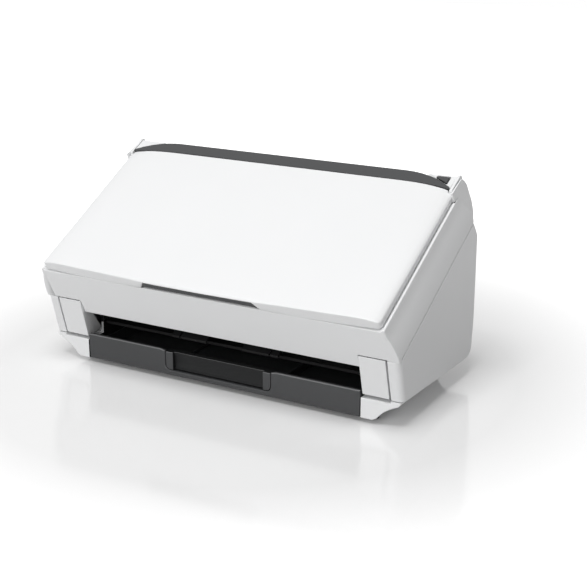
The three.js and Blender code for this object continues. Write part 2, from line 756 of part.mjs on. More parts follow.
function humpCover() {
  const lowY = rear - 0.5;
  const lowEdge = [lowY, swingZ + Math.sqrt((rearSeamRadius + gap) ** 2 - (lowY - swingY) ** 2)];
  const skinRear = [
    [rear - 0.1, height - 42], [rear - 1, height - 32], [rear - 3, height - 20.5], [rear - 8.8, height - 8.4, 4],
  ];
  const lipFront = seamLip();
  const centre = outline([
    lowEdge, ...skinRear, [rear - 13.2, height - 4.6, 0.8], lidPoint(stripEnd + 0.7, rimN), lipFront,
    ...seamArc(rearSeamRadius + gap, lipFront[0] + 1, rear - 1).slice(0, -1),
  ]);
  const hollow = [
    [rear - 2.9, height - 54], [rear - 2.6, height - 42], [rear - 3.6, height - 32.4], [rear - 5.5, height - 21.4],
    [rear - 10.4, height - 11], lidPoint(stripEnd + 0.3, rimN - 2.4), lidPoint(stripEnd - 13.3, rimN - 2.4),
    [rear - 22, height - 34],
  ];
  const endFill = [
    lidPoint(stripEnd - 23.9, rimN + 0.1), lidPoint(stripEnd - 23.9, -stripGap), [rear - 18.8, height - 1.1],
    [rear - 8.8, height - 8.4], [rear - 10, height - 14], lidPoint(stripEnd + 0.1, rimN - 1),
  ];
  const capOutline = outline([
    lowEdge, ...skinRear, [rear - 17.8, height - 1.9, 5], lidPoint(stripEnd - 18.9, -stripGap),
    lidPoint(stripEnd - 18.9, rimN + gap), lidPoint(stripEnd - 15.3, rimN + gap), [seamTopY - 0.4, seamTopZ + 0.242],
    ...seamArc(rearSeamRadius + gap, seamTopY, rear - 1).slice(0, -1),
  ]);
  const shoulder = [
    lidPoint(stripEnd - 39.7745, 2.0882), lidPoint(stripEnd - 15.9, rimN + gap),
    ...shoulderLine.map(([y, z]) => [y + gap, z + gap]),
    [coverRear + gap, partingAt(coverRear) + gap], [coverRear + gap, 90], [20, 90],
  ];
  const bulge = alongY([
    [0, height + 6], [humpHalf, height + 6], [humpHalf, height - 4], [half - 7.3, height - 10],
    [half - 6.5, height - 16], [half - 5.5, height - 22.5], [half - 4.1, height - 32],
    [half - 2.9, height - 46], [half - 2.9, height - 90], [0, height - 90],
  ], 0, 90);
  const corner = alongZ([[0, 0], [half - 0.8, 0], [half - 0.8, rear, 9], [0, rear]], height - 100, height + 16);
  const flare = common(cut(alongX(capOutline, humpHalf - 0.5, half), alongX(shoulder, humpHalf, half + 1)),
    bulge, corner);
  const shell = cut(alongX(centre, -humpHalf, humpHalf), alongX(hollow, -humpHalf + 2.4, humpHalf - 2.4));
  const fill = alongX(endFill, fillStart, humpHalf - 1);
  const cap = join(alongX(capOutline, capInner, humpHalf), flare);
  const pocket = moved(stripSolid(stripGap, rimN, 3, -20), lidFrame);
  const armRoom = moved(join(
    box(armInner - gap, armOuter + touch, stripEnd - 50, lidLength - 2.6, -lidSkirt - gap, 8),
    box(armInner - gap, armOuter + touch, stripEnd - 50, trayPivotU, trayPivotN - trayPivotRadius - gap, 8),
    barX(trayPivotRadius + gap, armInner - gap, armOuter + touch, trayPivotU, trayPivotN)), lidFrame);
  const openFrame = slopeFrame(lidAngle + (180 - trayOpening) * radians, pivotY, pivotZ);
  const openRoom = moved(box(armInner - gap, armOuter + touch, 0, 30, -trayPivotRadius - gap, 30), openFrame);
  const pinHole = barX(trayPin + touch, armInner - pinReach - touch, armOuter, pivotY, pivotZ, 16);
  const ears = [latchX0 - 3.2, latchX1 + 0.6].map((x) => cut(
    box(x, x + 2.6, latchPivot[0] - 4, rear - 2, latchPivot[1] - 4, latchPivot[1] + 4),
    barX(latchPin + touch, x - 1, x + 4, ...latchPivot, 16)));
  const latchSlot = join(moved(latchTab(gap, -9, 3), lidFrame),
    box(latchX0 - gap, latchX1 + gap, rear - 26, rear - 9.5, height - 26, height - 13),
    box(latchX0 - gap, latchX1 + gap, rear - 26, rear - 14, height - 14, height - 5.4));
  const right = join(fill, cap);
  const trimmed = cut(right, pocket, armRoom, openRoom, pinHole);
  const leftTools = [mirrored(armRoom), mirrored(openRoom)];
  const body = cut(shell, armRoom, openRoom, pinHole, ...leftTools, mirrored(pinHole));
  return join(cut(join(body, trimmed, mirrored(trimmed)), latchSlot), ...ears);
}

function seamLip() {
  const start = new THREE.Vector2(...lidPoint(0, rimN));
  const along = new THREE.Vector2(...lidPoint(1, rimN)).sub(start);
  const off = start.clone().sub(new THREE.Vector2(swingY, swingZ));
  const mid = -off.dot(along);
  const radius = rearSeamRadius + gap;
  return lidPoint(mid + Math.sqrt(mid ** 2 - off.lengthSq() + radius ** 2), rimN);
}

// Release lever at the right end of the housing; its tab follows the end of the strip

function latchTab(grow, n0, n1) {
  const rearEdge = tabRear + grow + (grow ? tabTravel : 0);
  const tabFront = (x) => stripEnd + 1.2 - stripRadius + Math.sqrt(stripRadius ** 2 - (x - stripFlat) ** 2);
  return alongZ([
    [latchX0 - grow, tabFront(latchX0) - grow], [latchX1 + grow, tabFront(latchX1) - grow],
    [latchX1 + grow, rearEdge], [latchX0 - grow, rearEdge],
  ], n0, n1);
}

function releaseLever() {
  const [py, pz] = latchPivot;
  const [sy, sz] = latchStrike;
  const tab = moved(latchTab(0, -7, -0.2), lidFrame);
  const [ty, tz] = lidPoint(tabRear - 0.4, -6);
  const arm = alongX([
    [ty - 1.4, tz], [ty + 1.8, tz], [py + 2, pz + 0.5], [py + 0.6, pz - 3.5], [sy - 1.9, sz + 5],
    [sy - 2.6, sz + 1.8], [sy - 2.6, sz - 2.3], [sy - 1.1, sz - 3.2], [sy - 1.9, sz - 5.1],
    [sy - 5.3, sz - 5.1], [sy - 5.6, sz + 3.2], [py - 4.4, pz - 4.4], [py - 2, pz],
  ], latchX0 + 2, latchX1 - 2);
  return join(tab, arm, barX(latchPin, latchX0 - 3, latchX1 + 3, py, pz, 16));
}

// Input tray: lid, inner panel, extension and edge guides, all in the lid's frame

function planArc(edge, flat, radius, end, steps = 6) {
  return Array.from({ length: steps + 1 }, (unused, i) => {
    const x = flat + (end - flat) * i / steps;
    return [x, edge - (radius - Math.sqrt(radius * radius - (x - flat) ** 2))];
  });
}

function stripPlan(grow, low) {
  const right = planArc(stripEnd + grow, stripFlat, stripRadius, panelSide + grow);
  const left = right.map(([x, u]) => [-x, u]).reverse();
  return [[-panelSide - grow, low], [panelSide + grow, low], ...right.reverse(), ...left.reverse()];
}

// The dark end strip, whose end face leans back under the top edge
function stripSolid(grow, n0, n1, low) {
  return sheared(alongZ(stripPlan(grow, low), n0, n1), stripUndercut);
}

function lidPlan(inset, grow = 0) {
  const side = lidHalf - inset;
  const bow = Array.from({ length: 9 }, (unused, i) => {
    const x = side * (i / 4 - 1);
    return [x, inset + lidBow * (x / lidHalf) ** 2, i === 0 || i === 8 ? 3.5 : 0];
  });
  const rearEdge = planArc(lidLength - inset + grow, stripFlat, 220, side);
  const left = rearEdge.map(([x, u]) => [-x, u]);
  return [...bow, ...rearEdge.reverse(), ...left];
}

function lidCross(drop, inset) {
  const steps = 5;
  const curve = Array.from({ length: steps + 1 }, (unused, i) => {
    const angle = i / steps * Math.PI / 2;
    return [lidHalf - inset - lidCrownWidth * (1 - Math.sin(angle)), -drop - lidCrown * (1 - Math.cos(angle))];
  });
  const right = [...curve, [lidHalf - inset, -30]];
  return [...right.map(([x, n]) => [-x, n]).reverse(), ...right];
}

function inputLid() {
  const plan = alongZ(lidPlan(0), -lidSkirt, 0);
  const cross = alongY(lidCross(0, 0), -10, 170);
  const lip = alongX(outline([[-0.4, 0, 1.6], [200, 0], [200, -20], [5, -20], [1.5, -lidSkirt]]), -half, half);
  const under = alongY(lidCross(lidWall, lidWall), -10, 170);
  const cavity = common(alongZ(lidPlan(lidWall), -30, -lidWall), under);
  const opening = alongY([[-gripHalf, -30], [gripHalf, -30], [gripHalf, -lidSkirt - 0.1], [gripHalf - 5, -1.6],
    [-gripHalf + 5, -1.6], [-gripHalf, -lidSkirt - 0.1]], -10, lidBow + lidWall);
  const openHalf = panelSide + touch;
  const rearOpening = join(
    common(box(-openHalf, openHalf, lidLength - 20, lidLength - 4, -30, -lidWall), under),
    box(-openHalf, openHalf, lidLength - 5, lidLength + 20, -30, -lidWall));
  const skin = cut(common(plan, cross, lip), cavity, opening, rearOpening);
  const arm = join(
    box(armInner, armOuter, lidLength - 16, trayPivotU, trayPivotN - trayPivotRadius, trayPivotN + trayPivotRadius),
    barX(trayPivotRadius, armInner, armOuter, trayPivotU, trayPivotN),
    barX(trayPin, armInner - pinReach, armInner + 1, trayPivotU, trayPivotN, 16));
  const armTrimmed = common(arm, join(cross, box(armInner - 5, half, lidLength - 5, 160, -20, 2)));
  return join(skin, armTrimmed, mirrored(armTrimmed));
}

function inputPanel() {
  const plateFront = lidBow + lidWall + touch;
  const plateRear = lidLength - 8;
  const plate = alongZ([
    [-panelSide, plateFront, 4], [panelSide, plateFront, 4], [panelSide, plateRear], [-panelSide, plateRear],
  ], -lidSkirt, -lidSkirt + panelSheet);
  const strip = cut(stripSolid(0, -lidSkirt, 0, lidLength - 30), alongZ(lidPlan(0, gap), -20, 3),
    box(-half, half, 0, lidLength - 14, -30, 5));
  const bridge = box(-stripFlat, stripFlat, plateRear - 2, lidLength + 2, -lidSkirt, -lidWall - touch - 0.6);
  const slots = [-1, 1].map((side) => {
    const u = rackU + side * webOffset;
    const inner = side * 18;
    const outer = side * (paperHalf + 3);
    return box(Math.min(inner, outer), Math.max(inner, outer), u - webWidth / 2 - gap, u + webWidth / 2 + gap, -12, -5);
  });
  const stub = barZ(rackPin, -lidSkirt + 0.5, rackTop + touch, 0, rackU, 16);
  return cut(join(plate, common(strip, box(-half, half, 0, 200, -lidSkirt, 3)), bridge, stub), ...slots);
}

function trayExtension() {
  const low = -lidSkirt + panelSheet + touch;
  const plate = box(-gripHalf + 4, gripHalf - 4, 3, extensionLength, low, low + 1.6);
  const grip = alongY([[-gripHalf + 2, low], [gripHalf - 2, low], [gripHalf - 5.1, -2.2],
    [-gripHalf + 5.1, -2.2]], 1.2, 4.4);
  return join(plate, grip);
}

// Gears with involute flanks; angles grow from +Y towards +Z about +X

function gearProfile(teeth, pitchModule, phase, addendum = 0.9, dedendum = 1.15) {
  const pitch = teeth * pitchModule / 2;
  const base = pitch * Math.cos(20 * radians);
  const tip = pitch + addendum * pitchModule;
  const root = pitch - dedendum * pitchModule;
  const involute = (r) => {
    const ratio = Math.sqrt(Math.max((r / base) ** 2 - 1, 0));
    return ratio - Math.atan(ratio);
  };
  const halfTooth = Math.PI / (2 * teeth) - toothPlay / (2 * pitch);
  const flank = [root, Math.max(base, root + 0.05), pitch, (pitch + tip) / 2, tip];
  const half = flank.map((r) => [r, halfTooth + involute(pitch) - involute(r)]);
  const points = [];
  for (let i = 0; i < teeth; i += 1) {
    const middle = phase + i * 2 * Math.PI / teeth;
    for (const [r, a] of half) points.push([r * Math.cos(middle - a), r * Math.sin(middle - a)]);
    for (const [r, a] of [...half].reverse()) points.push([r * Math.cos(middle + a), r * Math.sin(middle + a)]);
  }
  return points;
}

// Phase of gear b so that it meshes with gear a, which has a tooth at phaseA
function meshPhase(a, teethA, phaseA, b, teethB) {
  const line = Math.atan2(b[1] - a[1], b[0] - a[0]);
  return line + Math.PI + (line - phaseA) * teethA / teethB + Math.PI / teethB;
}

function gearAt(centre, teeth, phase, bore) {
  const points = gearProfile(teeth, gearModule, phase).map(([y, z]) => [y + centre[0], z + centre[1]]);
  const body = alongX(points, gearInner, gearInner + gearWidth);
  return bore ? cut(body, barX(bore, gearInner - 1, gearInner + gearWidth + 1, ...centre, 16)) : body;
}

function tyre(radius, x0, x1, y, z) {
  return cut(barX(radius, x0, x1, y, z, 28), barX(shaftRadius + fitGap, x0 - 1, x1 + 1, y, z));
}

// Edge guides with their racks

function rackTeeth(x0, x1, pitchU, direction) {
  const pitch = Math.PI * rackModule;
  const toothHalf = pitch / 4 - toothPlay / 2;
  const tilt = Math.tan(20 * radians) * rackModule;
  const points = [];
  const first = Math.ceil(x0 / pitch + 0.5);
  const last = Math.floor(x1 / pitch - 0.5);
  points.push([x0, pitchU - direction * 1.1 * rackModule]);
  for (let i = first; i <= last; i += 1) {
    const x = (i + 0.5) * pitch;
    if (x + toothHalf + tilt < x1 && x - toothHalf - tilt > x0) {
      points.push([x - toothHalf - tilt, pitchU - direction * 1.1 * rackModule]);
      points.push([x - toothHalf + tilt * 0.8, pitchU + direction * 0.8 * rackModule]);
      points.push([x + toothHalf - tilt * 0.8, pitchU + direction * 0.8 * rackModule]);
      points.push([x + toothHalf + tilt, pitchU - direction * 1.1 * rackModule]);
    }
  }
  points.push([x1, pitchU - direction * 1.1 * rackModule]);
  points.push([x1, pitchU - direction * 3.4 * rackModule]);
  points.push([x0, pitchU - direction * 3.4 * rackModule]);
  return points;
}

function edgeGuide(side) {
  const rackPitch = rackPinionTeeth * rackModule / 2;
  const inner = paperHalf;
  const wall = [
    [guideEnd - guideLength, -lidSkirt - touch], [guideEnd - guideLength, -lidSkirt - guideHeight + 2],
    [guideEnd - guideLength + 2, -lidSkirt - guideHeight], [guideEnd - 13, -lidSkirt - guideHeight],
    [guideEnd, -lidSkirt - 1.9], [guideEnd, -lidSkirt - touch],
  ];
  const x0 = side < 0 ? -inner - 2.2 : inner;
  const fence = alongX(wall, x0, x0 + 2.2);
  const footA = side * (inner + 2.2);
  const footB = side * (inner - guideFoot);
  const foot = box(Math.min(footA, footB), Math.max(footA, footB), guideEnd - guideLength, guideEnd,
    -lidSkirt - 1.9, -lidSkirt - touch);
  const webU = rackU + side * webOffset;
  const webX = side * (inner - 4);
  const web = box(webX - 3, webX + 3, webU - webWidth / 2, webU + webWidth / 2, -lidSkirt - 1, rackTop);
  const end = webX - side * rackLength;
  const rack = alongZ(outline(rackTeeth(Math.min(webX, end), Math.max(webX, end), rackU + side * rackPitch, -side)),
    rackBottom, rackTop);
  return join(fence, foot, web, rack);
}

function guidePinion() {
  const profile = gearProfile(rackPinionTeeth, rackModule, Math.PI / 2, 0.8, 1.15);
  const points = profile.map(([x, u]) => [x, u + rackU]);
  return cut(alongZ(outline(points), rackBottom, rackTop), barZ(rackPin + touch, -20, 5, 0, rackU, 16));
}

// Output tray

function outputTray() {
  const face = alongY(outline([
    [-trayHalf, trayBottom], [trayHalf, trayBottom], [trayHalf, trayTop], [50, trayTop], [43, trayTop - 1.4],
    [-43, trayTop - 1.4], [-50, trayTop], [-trayHalf, trayTop],
  ]), -trayFront, -trayFront + 3.2);
  const floor = box(-trayHalf, trayHalf, -trayFront + 1, trayLength - trayFront, trayBottom, trayBottom + 2);
  const sides = [-1, 1].map((side) => {
    const a = side * trayHalf;
    const b = side * (trayHalf - 2);
    return box(Math.min(a, b), Math.max(a, b), -trayFront + 1, trayLength - trayFront, trayBottom, 15);
  });
  const rails = [-1, 1].map((side) => {
    const a = side * (plateHalf + gap);
    const b = side * (plateHalf + gap + 2);
    return box(Math.min(a, b), Math.max(a, b), -trayFront + 7.3, trayLength - trayFront - 4, trayBottom + 1, 11.5);
  });
  const window = alongY(outline([
    [-windowHalf, 7.6, 4], [windowHalf, 7.6, 4], [windowHalf, 40], [-windowHalf, 40],
  ]), -trayFront - 1, -trayFront + 4);
  return cut(join(face, floor, ...sides, ...rails), window);
}

function outputExtension() {
  const side = windowHalf - gap;
  const face = alongY(outline([
    [-side, 8, 3.7], [side, 8, 3.7], [side, windowTop - touch], [-side, windowTop - touch],
  ]), -trayFront + 0.3, -trayFront + 6.5);
  const scoop = new THREE.CylinderGeometry(30, 30, side * 1.72, 40);
  scoop.rotateZ(Math.PI / 2);
  scoop.translate(0, -trayFront - 26.2, 13);
  const plate = box(-plateHalf, plateHalf, -trayFront + 3.5, extensionTray - trayFront, plateBottom, plateBottom + 1.6);
  const stem = box(-plateHalf, plateHalf, -trayFront + 3.5, -trayFront + 6.5, plateBottom, 12);
  const ears = [-1, 1].map((end) => {
    const x = end * (flapHalf + 2.2);
    return cut(box(x - 1, x + 1, flapY - 2.4, flapY + 2.4, plateBottom + 1, flapZ + 2),
      barX(flapPin + touch, x - 2, x + 2, flapY, flapZ, 16));
  });
  return join(cut(join(face, stem), solid(scoop)), plate, ...ears);
}

function stopperFlap() {
  const plate = box(-flapHalf, flapHalf, flapY, flapY + flapLength, flapZ - 0.8, flapZ + 0.8);
  return join(plate, barX(flapPin + 0.4, -flapHalf, flapHalf, flapY, flapZ, 16),
    barX(flapPin, -flapHalf - 2.8, flapHalf + 2.8, flapY, flapZ, 16));
}

// Base assembly
place('base_casing', baseCasing(), 'white');
place('base_pan', basePan(), 'white');
for (const [end, y] of [['front', -footInset], ['rear', panRear - 8]]) {
  for (const [side, x] of [['left', -footX], ['right', footX]]) {
    place(`foot_${end}_${side}`, barZ(footRadius, 0, footHeight, x, y), 'rubber');
  }
}
const swingPinBody = barX(swingPin, upperFrameInner + 0.5, half - casingWall - touch, swingY, swingZ);
place('swing_pin_right', swingPinBody, 'steel');
place('swing_pin_left', mirrored(swingPinBody), 'steel');
place('side_frame_right', sideFrame(true), 'frame');
place('side_frame_left', sideFrame(false), 'frame');
place('rear_guide', rearGuide(), 'black');

function sensorBar(at, side) {
  const face = side * (paperGap + guideWall + touch);
  const back = face + side * sensorDepth;
  return box(-sensorHalf, sensorHalf, -at - sensorLength / 2, -at + sensorLength / 2,
    Math.min(face, back), Math.max(face, back));
}

function sensorGlass(at, side) {
  const face = side * (paperGap + 0.1);
  const back = side * (paperGap + guideWall);
  return box(-sensorHalf + 1, sensorHalf - 1, -at - sensorLength / 2 + 0.6, -at + sensorLength / 2 - 0.6,
    Math.min(face, back), Math.max(face, back));
}

place('lower_sensor', sensorBar(sensorAt - sensorStagger, -1), 'frame', pathGroup);
place('lower_sensor_glass', sensorGlass(sensorAt - sensorStagger, -1), 'lens', pathGroup);

place('motor', join(barX(14, 84, sideFrameInner - touch, motorY, motorZ, 32),
  barX(5, 82, 84.5, motorY, motorZ)), 'steel');

function mainBoard() {
  return box(-sideFrameInner + touch, 24, boardY, boardY + 1.6, 26.8, 72);
}

function usbPort() {
  const shell = box(socketX - usbWidth / 2, socketX + usbWidth / 2, boardY + 1.9, portEnd,
    socketZ - usbHeight / 2, socketZ + usbHeight / 2);
  return cut(shell, box(socketX - usbWidth / 2 + 1.4, socketX + usbWidth / 2 - 1.4, portEnd - 9, portEnd + 1,
    socketZ - usbHeight / 2 + 1.4, socketZ + usbHeight / 2 - 1.4));
}

function powerJack() {
  const x = socketX + socketPitch;
  const tube = cut(barY(jackRadius, boardY + 1.9, portEnd, x, socketZ),
    barY(jackRadius - 1.5, portEnd - 9, portEnd + 1, x, socketZ));
  return join(tube, barY(0.8, portEnd - 9.5, portEnd - 1, x, socketZ, 12));
}

place('main_board', mainBoard(), 'board');
place('usb_port', usbPort(), 'steel');
place('power_jack', powerJack(), 'black');

// Rollers, shafts and gears of the base
const driveCentre = [driveY, driveZ];
const drivePhase = 0;
const upperPhase = meshPhase(driveCentre, shaftTeeth, drivePhase, upperIdler, shaftTeeth);
const feedPhase = meshPhase(upperIdler, shaftTeeth, upperPhase, [feedY, feedZ], shaftTeeth);
const motorPhase = meshPhase(upperIdler, shaftTeeth, upperPhase, [motorY, motorZ], pinionTeeth);
const lowerPhase = meshPhase(driveCentre, shaftTeeth, drivePhase, lowerIdler, lowerIdlerTeeth);
const exitPhase = meshPhase(lowerIdler, lowerIdlerTeeth, lowerPhase, [exitY, exitZ], shaftTeeth);
const shaftEnd = gearInner + gearWidth + 0.6;

for (const [name, y, z, phase] of [
  ['feed', feedY, feedZ, feedPhase], ['drive', driveY, driveZ, drivePhase], ['exit', exitY, exitZ, exitPhase],
]) {
  place(`${name}_shaft`, barX(shaftRadius, -sideFrameInner - frameWall, shaftEnd, y, z), 'steel');
  place(`${name}_gear`, gearAt([y, z], shaftTeeth, phase, shaftRadius + fitGap), 'gear');
}
place('feed_tyre', tyre(feedRadius, -feedTyre / 2, feedTyre / 2, feedY, feedZ), 'rubber');
for (const [name, y, z] of [['drive', driveY, driveZ], ['exit', exitY, exitZ]]) {
  for (const [side, sign] of [['left', -1], ['right', 1]]) {
    const x = sign * tyreCentre;
    place(`${name}_tyre_${side}`, tyre(driveRadius, x - tyreLength / 2, x + tyreLength / 2, y, z), 'rubber');
  }
}
place('upper_idler_gear', gearAt(upperIdler, shaftTeeth, upperPhase, idlerStub + touch), 'gear');
place('lower_idler_gear', gearAt(lowerIdler, lowerIdlerTeeth, lowerPhase, idlerStub + touch), 'gear');
place('motor_pinion', join(gearAt([motorY, motorZ], pinionTeeth, motorPhase, 0),
  barX(motorShaft, sideFrameInner + 0.2, gearInner + 1, motorY, motorZ, 16)), 'gear');

function paperFlag() {
  const finger = alongX([
    [-flagAt - 2, flagOut - 1], [-flagAt + 1.6, flagOut - 1.6], [-flagAt + 6.4, 1.1], [-flagAt + 5.4, 2.1],
    [-flagAt + 3.4, 2],
  ], flagX - 1.6, flagX + 1.6);
  return join(finger, barX(flagPin, flagX - 5.2, flagX + 5.2, -flagAt, flagOut, 16));
}

place('paper_flag', paperFlag(), 'frame', pathGroup);

// Front unit
place('cover_shell', coverShell(), 'white');
place('top_panel', topPanel(), 'lightGrey', trayGroup);
place('hump_cover', humpCover(), 'white');
place('upper_frame', upperFrame(), 'frame');
place('leg_cover_right', legCover(), 'white');
place('leg_cover_left', mirrored(legCover()), 'white');
place('front_guide', frontGuide(), 'black');
place('upper_sensor', sensorBar(sensorAt + sensorStagger, 1), 'frame', pathGroup);
place('upper_sensor_glass', sensorGlass(sensorAt + sensorStagger, 1), 'lens', pathGroup);

for (const [name, at] of [['drive', driveAt], ['exit', exitAt]]) {
  for (const [side, sign] of [['left', -1], ['right', 1]]) {
    const x = sign * tyreCentre;
    const body = join(barX(idlerRadius, x - tyreLength / 2, x + tyreLength / 2, -at, idlerOut),
      barX(idlerPin, x - tyreLength / 2 - 3, x + tyreLength / 2 + 3, -at, idlerOut, 16));
    place(`${name}_idler_${side}`, body, 'lightGrey', pathGroup);
  }
}

const armBody = join(box(-padHalf, padHalf, -armAt, -feedAt + 3.4, 2.6, 4.4),
  box(-padHalf, padHalf, -armAt - 1.4, -armAt + 1.4, 2.6, armOut + 1),
  barX(armPin, -padHalf - 3.2, padHalf + 3.2, -armAt, armOut, 16));
place('separation_arm', armBody, 'frame', pathGroup);
place('separation_pad', box(-padHalf + 0.6, padHalf - 0.6, -feedAt - 5, -feedAt + 3, touch, 2.3), 'rubber', pathGroup);
place('release_lever', releaseLever(), 'dark');
place('scan_button', button(buttons[0]), 'button', trayGroup);
place('power_button', button(buttons[1]), 'button', trayGroup);
place('status_lens', box(lensX - 4, lensX + 4, buttonU - 1.5, buttonU + 1.5,
  panelTop - panelWall - 1, panelTop + 0.2), 'lens', trayGroup);

// Input tray
place('input_tray_lid', inputLid(), 'white', trayGroup);
place('input_tray_panel', inputPanel(), 'dark', trayGroup);
place('tray_extension', trayExtension(), 'dark', trayGroup);
place('guide_left', edgeGuide(-1), 'lightGrey', trayGroup);
place('guide_right', edgeGuide(1), 'lightGrey', trayGroup);
place('guide_pinion', guidePinion(), 'gear', trayGroup);

// Output tray
place('output_tray', outputTray(), 'dark');
place('output_extension', outputExtension(), 'dark');
place('stopper_flap', stopperFlap(), 'dark');

export default group;
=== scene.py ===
# %% [markdown]
# # A desktop document scanner
# The frame holds the machine as plain engineering solids, each riding on the body that
# carries it. This lesson dresses them: the shells get moulded edges, the small parts get
# the grooves, dishes and recesses of the real ones, and every part gets a material with
# the grain of its real finish.

# %% Load the frame
import json
import math

import bpy
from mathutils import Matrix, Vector

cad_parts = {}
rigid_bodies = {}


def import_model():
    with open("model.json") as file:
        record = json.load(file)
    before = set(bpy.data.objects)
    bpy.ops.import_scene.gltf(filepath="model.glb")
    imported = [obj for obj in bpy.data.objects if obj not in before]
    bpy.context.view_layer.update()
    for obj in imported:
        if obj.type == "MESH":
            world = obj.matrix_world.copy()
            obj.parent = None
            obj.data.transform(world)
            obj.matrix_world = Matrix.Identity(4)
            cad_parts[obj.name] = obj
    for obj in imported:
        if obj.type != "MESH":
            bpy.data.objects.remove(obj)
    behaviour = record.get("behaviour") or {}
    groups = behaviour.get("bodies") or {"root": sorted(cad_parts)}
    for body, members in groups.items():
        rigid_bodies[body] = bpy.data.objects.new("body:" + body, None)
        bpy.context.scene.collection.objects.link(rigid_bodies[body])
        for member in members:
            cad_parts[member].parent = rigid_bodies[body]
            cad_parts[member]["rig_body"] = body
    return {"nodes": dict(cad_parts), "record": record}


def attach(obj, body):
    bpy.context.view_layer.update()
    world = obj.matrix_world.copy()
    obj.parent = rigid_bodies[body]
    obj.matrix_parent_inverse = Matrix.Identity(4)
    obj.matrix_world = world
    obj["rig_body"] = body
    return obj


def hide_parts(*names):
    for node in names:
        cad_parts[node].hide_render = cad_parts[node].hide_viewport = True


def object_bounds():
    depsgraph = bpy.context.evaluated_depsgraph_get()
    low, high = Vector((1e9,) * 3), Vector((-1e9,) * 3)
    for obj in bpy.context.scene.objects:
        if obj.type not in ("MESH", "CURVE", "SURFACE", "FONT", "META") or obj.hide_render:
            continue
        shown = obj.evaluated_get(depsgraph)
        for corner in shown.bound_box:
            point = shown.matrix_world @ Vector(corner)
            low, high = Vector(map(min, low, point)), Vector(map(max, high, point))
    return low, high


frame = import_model()
cad_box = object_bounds()
nodes = frame["nodes"]
body_of_node = {name: nodes[name]["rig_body"] for name in nodes}
bpy.context.scene.view_settings.view_transform = "Standard"
MM = 0.001
HALF_WIDTH = cad_box[1][0]
print("nodes in the frame:", len(nodes), "half width:", round(HALF_WIDTH / MM, 2), "mm")

# %% [markdown]
# ## The camera
# The picture was taken from the front right, a little above the machine, with a long lens.
# A camera in Blender looks down its own -Z axis, so tipping it up by 90 degrees less the
# elevation and turning it by the azimuth aims it at the machine.

# %% Camera
CAMERA_AZIMUTH = 29.5
CAMERA_ELEVATION = 18.05
CAMERA_PLACE = (0.46333, -0.75557, 0.3481)
SENSOR_WIDTH = 36
FOCAL_LENGTH = 76.258
bpy.ops.object.select_all(action="DESELECT")
bpy.ops.object.camera_add(
    location=CAMERA_PLACE,
    rotation=(math.radians(90 - CAMERA_ELEVATION), 0, math.radians(CAMERA_AZIMUTH)),
)
camera = bpy.context.object
camera.name = "camera"
camera.data.sensor_width = SENSOR_WIDTH
camera.data.lens = FOCAL_LENGTH
bpy.context.scene.camera = camera
print("camera lens:", round(camera.data.lens, 2))

# %% [markdown]
# ## Node helpers
# An effect that several finishes share is built once as a node group. Its sockets are
# made through the group's interface, and each material sets its own values on them. The
# other helpers keep the materials short: each reads the piece's own coordinates, and many
# run from a darker tone to a lighter one.


# %% Node helpers
def new_group(name, inputs, outputs):
    """An empty shader group with named sockets, given as (name, kind, default)."""
    tree = bpy.data.node_groups.new(name, "ShaderNodeTree")
    for label, kind, value in inputs:
        socket = tree.interface.new_socket(label, in_out="INPUT", socket_type="NodeSocket" + kind)
        if value is not None:
            socket.default_value = value
    for label, kind in outputs:
        tree.interface.new_socket(label, in_out="OUTPUT", socket_type="NodeSocket" + kind)
    return tree, tree.nodes.new("NodeGroupInput"), tree.nodes.new("NodeGroupOutput")


def add_node(tree, kind, **values):
    """A node with its named sockets or settings filled in."""
    node = tree.nodes.new("ShaderNode" + kind)
    for key, value in values.items():
        if hasattr(node, key):
            setattr(node, key, value)
        else:
            node.inputs[key.replace("_", " ")].default_value = value
    return node


def new_material(name):
    """A material with its tree, its shader and the piece's own coordinates."""
    material = bpy.data.materials.new(name)
    material.use_nodes = True
    tree = material.node_tree
    return material, tree, tree.nodes["Principled BSDF"], add_node(tree, "TexCoord")


def two_tones(tree, dark, light, dark_until=0.0, light_from=1.0):
    """A ramp from a dark tone to a light one."""
    ramp = add_node(tree, "ValToRGB")
    first, last = ramp.color_ramp.elements
    first.color = (*dark, 1)
    last.color = (*light, 1)
    first.position = dark_until
    last.position = light_from
    return ramp


# %% [markdown]
# ## Moulded grain
# An injection-moulded shell isn't mirror smooth. The steel of the mould leaves a fine even
# grain that breaks up highlights, and the colour of the plastic drifts by a percent or two
# over the length of a part. The group gives both, as a height for a Bump node, a colour
# and a roughness.


